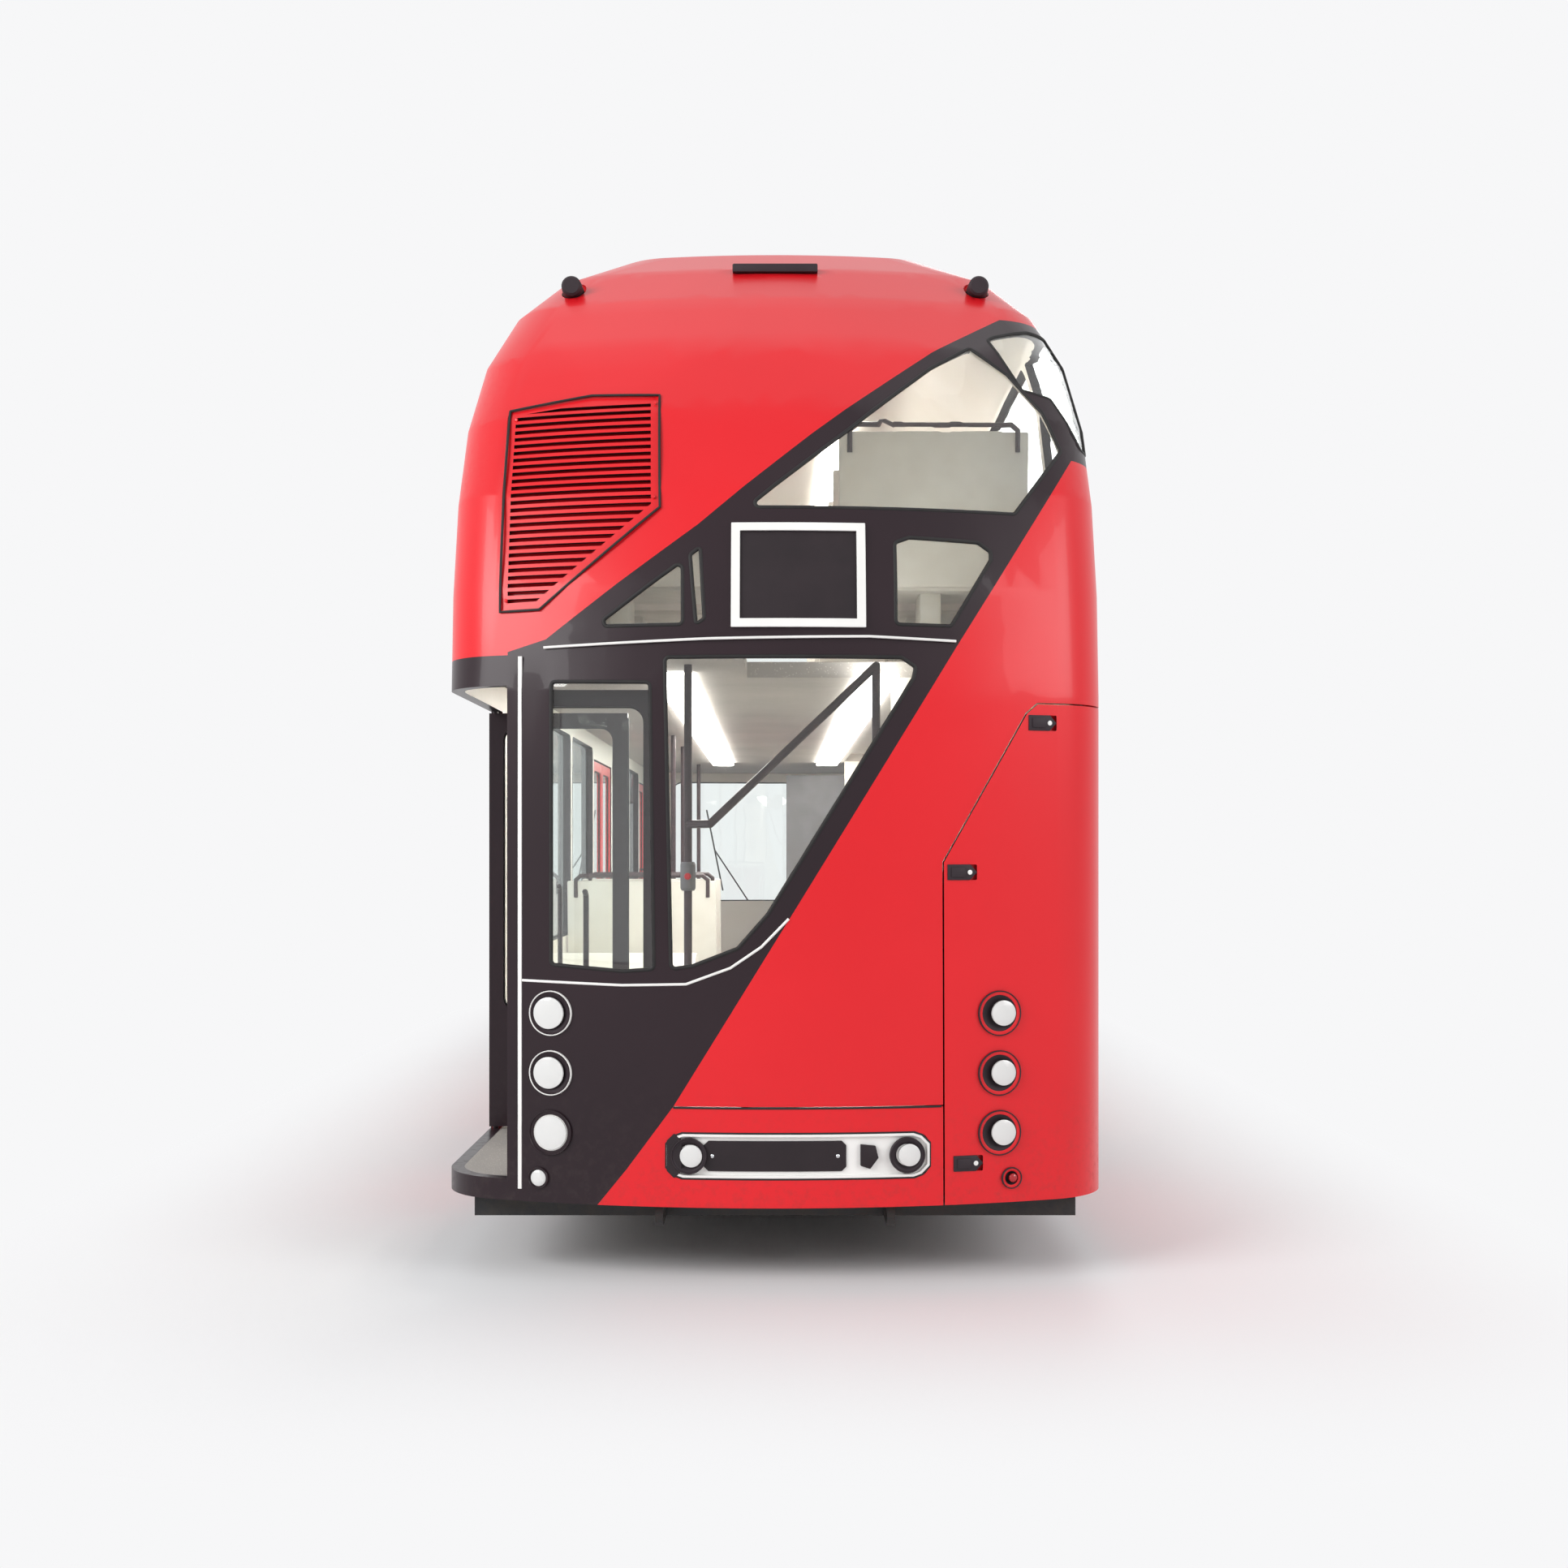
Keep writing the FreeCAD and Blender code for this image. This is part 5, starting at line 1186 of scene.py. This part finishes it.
def build_tyre(name, centre, half, radius, body):
    """A tyre with a grooved crown and tread lugs at both shoulders."""
    section = tyre_section(half, radius)
    carcass = turned(name + "_carcass", section, centre, ACROSS, tyre_steps)
    parts = [carcass]
    for way in (-1, 1):
        edge = way * half * lug_share
        low = Vector((edge - lug_left, -lug_half, radius - lug_root)) + centre
        high = Vector((edge + lug_right, lug_half, radius - lug_top)) + centre
        lug = block(name + "_lug", low, high, round_edge=2 * MM, segments=1)
        parts.append(ringed(lug, lug_count, centre, ACROSS))
    return ready(joined(name, parts), tyre_rubber, body)


nut_radius = 17 * MM
nut_height = 24 * MM
washer_profile = ((0, 0), (0, 22 * MM), (4 * MM, 22 * MM), (5 * MM, 19 * MM), (5 * MM, 0))
stud_profile = ((20 * MM, 0), (20 * MM, 9 * MM), (32 * MM, 9 * MM), (34 * MM, 7 * MM))
stud_profile += ((34 * MM, 0),)


def build_nuts(name, centre, out, face, body):
    """A circle of hexagonal wheel nuts with washers and studs on a wheel's face."""
    way = ACROSS * out
    place = centre + way * face + UP * nut_circle
    start()
    bpy.ops.mesh.primitive_cylinder_add(
        vertices=6, radius=nut_radius, depth=nut_height, location=place + way * nut_height / 2
    )
    bpy.context.object.rotation_euler = way.to_track_quat("Z", "Y").to_euler()
    nut = softened(placed(name + "_nut"), width=2 * MM)
    washer = turned(name + "_washer", washer_profile, place, way, steps=20)
    stud = turned(name + "_stud", stud_profile, place, way, steps=12)
    ring = ringed(joined(name, [nut, washer, stud]), nut_count, centre, ACROSS)
    return ready(ring, bright_trim, body)


def build_wheels():
    """Tyres and nuts of both front wheels and both pairs of rear wheels."""
    for side, word in ((-1, "left"), (1, "right")):
        node = "tyre_front_" + word
        low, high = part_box(node)
        centre = (low + high) / 2
        half = (high.x - low.x) / 2
        radius = centre.z
        body = "wheel_front_" + word
        front = build_tyre("front_tyre_" + word, centre, half, radius, body)
        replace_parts(front, node)
        build_nuts("front_nuts_" + word, centre, side, front_hub_face, body)
        node = "tyres_rear_" + word
        body = "wheels_rear_" + word
        boxes = solids_of(node)
        pair = []
        for i, (low, high) in enumerate(boxes):
            centre = (low + high) / 2
            centre.z = radius
            pair.append(build_tyre("rear_tyre_" + word + "_" + str(i), centre, half, radius, body))
        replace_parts(pair[0], node)
        middle = (boxes[0][0] + boxes[1][1]) / 2
        middle.z = radius
        build_nuts("rear_nuts_" + word, middle, side, rear_hub_face, body)


# Seats

double_width = 0.86
single_width = 0.48

# A pad's mesh, its cloth simulation and its sewn channels. Its edges lie under its flat faces
# by edge_drop of its crown, and its sides are drawn in between the corners by side_draw of it.
# Points within channel_reach of the mesh's pitch from a channel are pressed in.
edge_drop = 0.6
side_draw = 0.5
channel_reach = 0.6
pad_cuts = 6
pad_pressure = 4
pad_cap = 9 * MM
cloth_frames = 20
channel_depth = 5 * MM

# A bench's pads, from the foot of its back forwards and from its floor up: (low, high).
pad_gap = 14 * MM
cushion_y = (0.035, 0.41)
cushion_z = (0.385, 0.452)
cushion_welt_z = 0.444
cushion_crown = 14 * MM
cushion_channels = (0.22, 0.62)
backrest_y = (-0.030, 0.018)
backrest_z = (0.475, 1.035)
backrest_welt_y = 0.014
backrest_crown = 12 * MM
backrest_channels = (0.25, 0.5, 0.75)
back_lean = 0.1
back_foot = 0.45
welt_radius = 4 * MM
welt_reach = 18 * MM

# Its shells and pedestal, and one bend of its grab handle: in from the end, y and z.
tub_y = (-0.02, 0.415)
tub_z = (0.345, 0.392)
shell_y = (-0.058, -0.034)
shell_z = (0.36, 1.055)
rib_half = 6 * MM
rib_y = (-0.05, 0.30)
rib_z = (0.37, 0.46)
leg_half = 0.05
leg_y = (0.05, 0.30)
leg_top = 0.36
foot_half = 0.09
foot_y = (0.02, 0.33)
foot_top = 14 * MM
grip_inset = 0.05
grip_bend = ((0, -0.105, 0.96), (0, -0.117, 1.06), (0.03, -0.12, 1.085))
grip_radius = 13 * MM

# How far a bench reaches ahead of its back's foot, and a height between the two decks' floors.
bench_reach = 0.43
deck_split_z = 2


def plumped(piece):
    """Blow a cover up by cloth simulation, as foam presses it, each point by pad_cap at most."""
    pick(piece)
    flat = [vertex.co.copy() for vertex in piece.data.vertices]
    cover = piece.modifiers.new("cover", "CLOTH")
    cover.settings.use_pressure = True
    cover.settings.uniform_pressure_force = pad_pressure
    cover.settings.effector_weights.gravity = 0
    cover.point_cache.frame_start = 1
    cover.point_cache.frame_end = cloth_frames
    for i in range(1, cloth_frames + 1):
        bpy.context.scene.frame_set(i)
    bpy.ops.object.modifier_apply(modifier="cover")
    for vertex, place in zip(piece.data.vertices, flat):
        move = vertex.co - place
        if move.length > pad_cap:
            vertex.co = place + move * (pad_cap / move.length)
    bpy.context.scene.frame_set(1)


def pad(name, low, high, crown, channels):
    """A foam pad in its cover: crowned faces, sides drawn in between the corners, and sewn
    channels at shares of its length."""
    start()
    low = Vector(low)
    high = Vector(high)
    size = high - low
    centre = (low + high) / 2
    bpy.ops.mesh.primitive_cube_add(size=1, location=centre)
    bpy.context.object.scale = size
    piece = placed(name)
    edit(piece)
    bpy.ops.mesh.subdivide(number_cuts=pad_cuts)
    closed()
    thin = min(range(3), key=lambda i: size[i])
    wide = [i for i in range(3) if i != thin]
    for vertex in piece.data.vertices:
        share = [(vertex.co[i] - centre[i]) / (size[i] / 2) for i in range(3)]
        edge_u = 1 - share[wide[0]] ** 4
        edge_v = 1 - share[wide[1]] ** 4
        vertex.co[thin] += share[thin] * crown * (edge_u * edge_v - edge_drop)
        for here, there in ((wide[0], wide[1]), (wide[1], wide[0])):
            vertex.co[here] -= share[here] ** 3 * crown * side_draw * (1 - share[there] ** 2)
    plumped(piece)
    pick(piece)
    rounding = piece.modifiers.new("rounding", "SUBSURF")
    rounding.levels = 1
    rounding.render_levels = 1
    bpy.ops.object.modifier_apply(modifier="rounding")
    along = wide[1]
    pitch = size[along] / (2 * (pad_cuts + 1))
    for vertex in piece.data.vertices:
        share = (vertex.co[along] - low[along]) / size[along]
        if min(abs(share - channel) for channel in channels) * size[along] < pitch * channel_reach:
            vertex.co[thin] -= math.copysign(channel_depth, vertex.co[thin] - centre[thin])
    return smooth(piece, SOFT_ANGLE)


def piping(name, low, high, thin, level):
    """The welt sewn round a pad's edge, on the side at a level along its thin way."""
    wide = [i for i in range(3) if i != thin]
    points = []
    for u, v in ((0, 0), (1, 0), (1, 1), (0, 1)):
        corner = [0.0, 0.0, 0.0]
        corner[thin] = level
        corner[wide[0]] = (low, high)[u][wide[0]]
        corner[wide[1]] = (low, high)[v][wide[1]]
        corner = Vector(corner)
        to_u = Vector([0.0, 0.0, 0.0])
        to_u[wide[0]] = welt_reach if u == 0 else -welt_reach
        to_v = Vector([0.0, 0.0, 0.0])
        to_v[wide[1]] = welt_reach if v == 0 else -welt_reach
        ends = (corner + to_v, corner + to_u * 0.3 + to_v * 0.3, corner + to_u)
        points += ends if u == v else ends[::-1]
    return tube(name, points, welt_radius, round_trip=True)


def leaned(piece):
    """Lean a backrest: it goes back with height above its foot."""
    for vertex in piece.data.vertices:
        vertex.co.y -= (vertex.co.z - back_foot) * back_lean
    return piece


def bench_parts(width):
    """Pads, welts, shells and grab handle of a bench whose back stands at y 0 on a floor at z 0."""
    places = 2 if width > single_width else 1
    each = width / places
    x0 = -width / 2 + pad_gap
    x1 = x0 + each - 2 * pad_gap
    low, high = zip((x0, x1), cushion_y, cushion_z)
    cushion = pad("cushion", low, high, cushion_crown, cushion_channels)
    cushion_welt = (low, high)
    low, high = zip((x0, x1), backrest_y, backrest_z)
    backrest = pad("backrest", low, high, backrest_crown, backrest_channels)
    pads = [cushion, leaned(backrest)]
    welts = [
        piping("welt", *cushion_welt, 2, cushion_welt_z),
        leaned(piping("welt", low, high, 1, backrest_welt_y)),
    ]
    if places == 2:
        pads += [copied(piece, ACROSS * each) for piece in pads]
        welts += [copied(piece, ACROSS * each) for piece in welts]
    return joined("pads", pads), joined("welts", welts), bench_shells(width), bench_grip(width)


def bench_shells(width):
    """The moulded tub, rear shell and side ribs of a bench, and its pedestal."""
    half = width / 2
    tub = block("tub", *zip((-half, half), tub_y, tub_z), round_edge=14 * MM)
    rear = leaned(block("rear_shell", *zip((-half, half), shell_y, shell_z), round_edge=9 * MM))
    shells = [tub, rear]
    for x in (-half + rib_half, half - rib_half):
        corners = zip((x - rib_half, x + rib_half), rib_y, rib_z)
        shells.append(block("side_rib", *corners, round_edge=5 * MM))
    leg = zip((-leg_half, leg_half), leg_y, (0, leg_top))
    shells.append(block("leg", *leg, round_edge=12 * MM))
    foot = zip((-foot_half, foot_half), foot_y, (0, foot_top))
    shells.append(block("foot", *foot, round_edge=5 * MM))
    return joined("shells", shells)


def bench_grip(width):
    """The bent grab handle over a bench's rear shell."""
    x = width / 2 - grip_inset
    path = [(-x + inward, y, z) for inward, y, z in grip_bend]
    path += [(-along, y, z) for along, y, z in reversed(path)]
    return tube("grip", path, grip_radius)


def build_seats():
    """Benches at the places of the frame's own, joined by deck and by finish. Only the driver's
    is a single seat."""
    patterns = {}
    decks = {}
    for low, high in solids_of("seats"):
        single = high.x - low.x < (single_width + double_width) / 2
        if single not in patterns:
            patterns[single] = bench_parts(single_width if single else double_width)
        deck = "upper" if low.z > deck_split_z else "driver" if single else "lower"
        offset = Vector(((low.x + high.x) / 2, high.y - bench_reach, low.z))
        decks.setdefault(deck, []).append([copied(part, offset) for part in patterns[single]])
    looks = (("pads", seat_cloth), ("welts", black_plastic), ("shells", pale_shell))
    looks += (("grips", rail_coat),)
    cushions = []
    for deck, benches in decks.items():
        for i, (word, finish) in enumerate(looks):
            name = deck + "_seat_" + word
            whole = ready(joined(name, [bench[i] for bench in benches]), finish)
            if word == "pads":
                cushions.append(whole)
    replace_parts(cushions[0], "seats")
    for parts in patterns.values():
        drop(parts)


# Doors

# How far a nosing reaches past its leaf's free edge, its half depth and its way from the ends.
nosing_tip = 5 * MM
nosing_half = 9 * MM
nosing_margin = 60 * MM

# A leaf's handle: how far it stands inwards from the glass, and its height.
leaf_grip = ((0.012, 0.95), (0.046, 0.96), (0.052, 0.98), (0.052, 1.42), (0.046, 1.44))
leaf_grip += ((0.012, 1.45),)
leaf_grip_radius = 11 * MM


def build_leaf_trim():
    """A rubber nosing on each leaf's free edge and a grab handle on its inner side."""
    for leaf in all_leaf_names:
        low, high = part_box("leaf_" + leaf)
        glass_low, glass_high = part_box("leaf_glass_" + leaf)
        middle = (glass_low + glass_high) / 2
        body = "leaf_" + leaf
        along = 0 if high.x - low.x > high.y - low.y else 1
        out = 1 - along
        at_high = leaf in platform_leaf_names or leaf.endswith("_rear")
        free = high[along] if at_high else low[along]
        tip = nosing_tip if at_high else -nosing_tip
        foot = (low.z + nosing_margin, -tip / 2, -nosing_half)
        head = (high.z - nosing_margin, tip, nosing_half)
        corners = []
        for z, reach, depth in (foot, head):
            corner = [0, 0, z]
            corner[along] = free + reach
            corner[out] = middle[out] + depth
            corners.append(corner)
        lows = [min(pair) for pair in zip(*corners)]
        highs = [max(pair) for pair in zip(*corners)]
        nosing = block("leaf_nosing_" + leaf, lows, highs, round_edge=2 * MM)
        ready(nosing, gasket_rubber, body)
        inner = AHEAD if along == 0 else ACROSS
        points = [Vector((middle.x, middle.y, z)) + inner * reach for reach, z in leaf_grip]
        ready(tube("leaf_grip_" + leaf, points, leaf_grip_radius), rail_coat, body)


# Inside

# Each deck's two rows of lights: height, rear end, front end and way out from the middle.
light_rows = ((2.352, -4.4, 3.4, 0.45), (4.262, -3.5, 4.0, 0.40))
light_half = 0.09
light_height = 22 * MM

step_rise = 0.23
step_tread = 0.215
nosing_from = 2 * MM
nosing_to = 40 * MM
nosing_height = 4 * MM

# Flights of the stairs: the height that they start from, their count of steps, the first step's
# edge along the flight, and the two ends of a step across it. The platform's one climbs along x.
floor_z = 0.38
landing_z = 1.53
platform_flight = (floor_z, 5, -0.34, (-5.35, -4.81))
upper_flight = (landing_z, 3, -4.8, (0.53, 1.19))
front_flight = (floor_z, 8, 1.5, (0.62, 1.19))
sill_low = (-0.90, -5.33)
sill_high = (-0.40, -5.29)

bell_place = (-0.362, -4.7, 1.5)
bell_case = ((-60 * MM, 18 * MM), (-60 * MM, 26 * MM), (-50 * MM, 32 * MM), (50 * MM, 32 * MM))
bell_case += ((60 * MM, 26 * MM), (60 * MM, 18 * MM))
bell_push = ((26 * MM, 0), (26 * MM, 15 * MM), (34 * MM, 14 * MM), (37 * MM, 9 * MM), (38 * MM, 0))


def build_inside():
    """Ceiling lights of both decks, yellow nosings on the steps, the platform's bell push."""
    lights = []
    for z, rear, front, way_out in light_rows:
        for x in (-way_out, way_out):
            low = (x - light_half, rear, z)
            high = (x + light_half, front, z + light_height)
            lights.append(block("light", low, high, round_edge=8 * MM))
    ready(joined("ceiling_lights", lights), light_diffuser)

    edges = []
    for flight in (platform_flight, upper_flight, front_flight):
        base, count, first, ends = flight
        for i in range(count):
            z = base + (i + 1) * step_rise
            treads = (first + i * step_tread + nosing_from, first + i * step_tread + nosing_to)
            low, high = zip(treads, ends) if flight is platform_flight else zip(ends, treads)
            edges.append((low, high, z))
    edges.append((sill_low, sill_high, floor_z))
    nosings = []
    for low, high, z in edges:
        high = (*high, z + nosing_height)
        nosings.append(block("nosing", (*low, z), high, round_edge=1.5 * MM, segments=1))
    ready(joined("step_nosings", nosings), nosing_yellow)

    ready(turned("bell_case", bell_case, bell_place, UP, steps=24), grey_plastic)
    buttons = [turned("bell_button", bell_push, bell_place, way, steps=20) for way in (-AHEAD, AHEAD)]
    ready(joined("bell_buttons", buttons), bell_red)


# Nose and sides

# The mirrors' glass: its middle's way out, its half width, its two faces and its two ends.
mirror_x = 1.42
mirror_half = 78 * MM
mirror_y = (5.127, 5.132)
mirror_z = (2.087, 2.383)

# A wiper in (x, z) on the windscreen: its pivot, its arm's tip and its blade's ends, with how
# far the arm and the blade stand proud of it.
wiper_pivot = (0.25, 1.09)
wiper_tip = (0.60, 1.62)
blade_foot = (0.52, 1.22)
blade_head = (0.68, 2.02)
foot_proud = 14 * MM
arm_proud = 22 * MM
tip_proud = 20 * MM
blade_proud = 10 * MM
arm_radius = 7 * MM
blade_radius = 8 * MM
wiper_boss = ((-4 * MM, 0), (-4 * MM, 26 * MM), (14 * MM, 22 * MM), (20 * MM, 12 * MM))
wiper_boss += ((20 * MM, 0),)


def build_nose():
    """Mirror glasses and wipers."""
    for side, word in ((-1, "left"), (1, "right")):
        across = (side * mirror_x - mirror_half, side * mirror_x + mirror_half)
        corners = zip(across, mirror_y, mirror_z)
        glass = block("mirror_glass_" + word, *corners, round_edge=1 * MM)
        ready(glass, mirror_silver)
        foot = on_end(side * wiper_pivot[0], wiper_pivot[1], 1)
        tip = on_end(side * wiper_tip[0], wiper_tip[1], 1, tip_proud)
        pivot = turned("wiper_boss", wiper_boss, foot, AHEAD, steps=24)
        path = [foot + AHEAD * foot_proud, (foot + tip) / 2 + AHEAD * arm_proud, tip]
        ends = [(side * x, z) for x, z in (blade_foot, blade_head)]
        blade = tube("wiper_blade", end_line(ends, 1, blade_proud), blade_radius)
        parts = [pivot, tube("wiper_arm", path, arm_radius), blade]
        ready(joined("wiper_" + word, parts), black_plastic)


axle_z = 0.479
rear_arch = (-2.555, 0.56)
front_arch = (2.945, 0.60)
arch_steps = 24
lip_radius = 9 * MM

# Seams between the skirt's panels by y, a pressed line at the waist, and amber marker lamps.
skirt_z = (0.32, 1.04)
left_seams = (-4.2, -3.3, -1.75, -0.95, 1.2, 2.1)
right_seams = (-4.2, -3.3, -1.75, -0.95, 0.2, 1.2, 2.1, 3.75, 4.6)
waist_z = 2.62
waist_ends = (-4.1, 4.95)
side_seam_radius = 2.5 * MM
waist_radius = 3 * MM
marker_z = 0.93
left_markers = (-3.75, -1.35, 1.65)
right_markers = (-3.75, -1.35, 1.65, 4.2)
marker_dome = ((-2 * MM, 0), (-2 * MM, 30 * MM), (8 * MM, 28 * MM), (12 * MM, 18 * MM))
marker_dome += ((13 * MM, 0),)


def arch_lip(middle, radius):
    """A rubber lip round a wheel's arch on the right side, down to the skirt's edge."""
    out = half_width + 1 * MM
    points = [(out, middle - radius, skirt_z[0])]
    for i in range(arch_steps + 1):
        angle = math.pi * i / arch_steps
        y = middle - radius * math.cos(angle)
        points.append((out, y, axle_z + radius * math.sin(angle)))
    points.append((out, middle + radius, skirt_z[0]))
    return tube("arch_lip", points, lip_radius)


def build_side_trim():
    """Rubber lips round the arches, seams between the skirt's panels, a waist line and lamps."""
    right = joined("arch_lips_offside", [arch_lip(*rear_arch), arch_lip(*front_arch)])
    left = mirrored(right)
    left.name = "arch_lips_nearside"
    seams = []
    for x, places in ((half_width, right_seams), (-half_width, left_seams)):
        for y in places:
            seams.append(tube("seam", [(x, y, z) for z in skirt_z], side_seam_radius))
    for x in (-half_width, half_width):
        seams.append(tube("seam", [(x, y, waist_z) for y in waist_ends], waist_radius))
    for piece in (left, right, joined("side_seams", seams)):
        ready(piece, gasket_rubber)
    markers = []
    for side, places in ((-1, left_markers), (1, right_markers)):
        for y in places:
            place = (side * half_width, y, marker_z)
            markers.append(turned("marker", marker_dome, place, ACROSS * side, steps=28))
    ready(joined("side_markers", markers), amber_lens)


# Stage, light and camera

# The drawing's ground, and where the floor's own shade has faded into it, in metres from the bus.
paper_white = "F7F7F8"
floor_radius = 120
fade_start = 0.05
fade_end = 2.0


def build_stage():
    """A pale floor that fades into the backdrop's white away from the bus."""
    start()
    bpy.ops.mesh.primitive_circle_add(vertices=96, radius=floor_radius, fill_type="NGON")
    floor = placed("studio_floor")
    made, tree, shader, place = finish_tree("pale_studio_floor", {"Roughness": 0.6, "IOR": 1.4})
    cloud = add(tree, "TexNoise", "Fac", {"Vector": place, "Scale": 0.3, "Detail": 2})
    tone = add(tree, "MixRGB", "Color", {0: cloud, 1: linear("F4F4F5"), 2: linear("F1F1F2")})
    fill(tree, shader, {"Base Color": tone})
    sides = add(tree, "VectorMath", "Vector", {0: place}, operation="ABSOLUTE")
    edge = {0: sides, 1: (half_width, end_y, 0)}
    beyond = add(tree, "VectorMath", "Vector", edge, operation="SUBTRACT")
    clear = add(tree, "VectorMath", "Vector", {0: beyond, 1: (0, 0, 0)}, operation="MAXIMUM")
    distance = add(tree, "VectorMath", "Value", {0: clear}, operation="LENGTH")
    fading = {"Value": distance, "From Min": fade_start, "From Max": fade_end}
    far = add(tree, "MapRange", "Result", fading, interpolation_type="SMOOTHSTEP")
    share = add(tree, "Math", "Value", {0: far, 1: seen_ray(tree)}, operation="MULTIPLY")
    paper = add(tree, "Emission", "Emission", {"Color": linear(paper_white), "Strength": 1.0})
    mix = add(tree, "MixShader", "Shader", {0: share, 1: shader.outputs["BSDF"], 2: paper})
    fill(tree, tree.nodes["Material Output"], {"Surface": mix})
    floor.data.materials.append(made)


def build_world():
    """Soft white light from all round, and the backdrop's white wherever it is seen."""
    world = bpy.data.worlds.new("studio")
    bpy.context.scene.world = world
    world.use_nodes = True
    tree = world.node_tree
    tree.nodes.clear()
    soft = add(tree, "Background", "Background", {"Color": linear("F4F5F7"), "Strength": 0.4})
    white = add(tree, "Background", "Background", {"Color": linear(paper_white), "Strength": 1.0})
    mix = add(tree, "MixShader", "Shader", {0: seen_ray(tree), 1: soft, 2: white})
    fill(tree, tree.nodes.new("ShaderNodeOutputWorld"), {"Surface": mix})


def seen_ray(tree):
    """1 for a ray from the camera, off gloss or through glass, and 0 for one that lights."""
    path = tree.nodes.new("ShaderNodeLightPath").outputs
    inputs = {0: path["Is Camera Ray"], 1: path["Is Glossy Ray"]}
    seen = add(tree, "Math", "Value", inputs, operation="ADD", use_clamp=True)
    inputs = {0: seen, 1: path["Is Transmission Ray"]}
    return add(tree, "Math", "Value", inputs, operation="ADD", use_clamp=True)


def area_lamp(name, place, aim, width, height, watts):
    """A soft box at a place, turned to face its aim."""
    start()
    bpy.ops.object.light_add(type="AREA", location=place)
    source = bpy.context.object
    source.name = name
    source.data.shape = "RECTANGLE"
    source.data.size = width
    source.data.size_y = height
    source.data.energy = watts
    way = Vector(aim) - Vector(place)
    source.rotation_euler = way.to_track_quat("-Z", "Y").to_euler()


def build_light():
    """Soft boxes behind left and right, kept wide of the tail's mirror angle so that its red and
    its lamps show no glare, one over the roof and one ahead of the nose."""
    tail = (0, -4, 2)
    middle = (0, 0, 2)
    nose = (0, 5, 2)
    area_lamp("key", place=(-11, -13, 8), aim=tail, width=9, height=6, watts=1520)
    area_lamp("fill", place=(11, -12, 7), aim=tail, width=8, height=6, watts=720)
    area_lamp("top", place=(0, 0, 24), aim=middle, width=16, height=12, watts=200)
    area_lamp("front", place=(3, 16, 10), aim=nose, width=8, height=6, watts=600)


# Where the drawing's eye is, and how its frame crops the view.
eye = (0, -12.115, 1.6)
lens_mm = 40.9
film_mm = 36
frame_shift = (0.0057, 0.0435)


def build_camera():
    """Level, behind the tail, at the drawing's eye height."""
    start()
    bpy.ops.object.camera_add(location=eye, rotation=(math.pi / 2, 0, 0))
    camera = bpy.context.object
    camera.data.sensor_width = film_mm
    camera.data.lens = lens_mm
    camera.data.shift_x, camera.data.shift_y = frame_shift
    camera.data.clip_end = 400
    bpy.context.scene.camera = camera
    bpy.context.scene.view_settings.view_transform = "Standard"


dress_nodes()
build_rubbers()
build_lamps()
build_signs()
build_trims()
build_wheels()
build_seats()
build_leaf_trim()
build_inside()
build_nose()
build_side_trim()
build_stage()
build_world()
build_light()
build_camera()
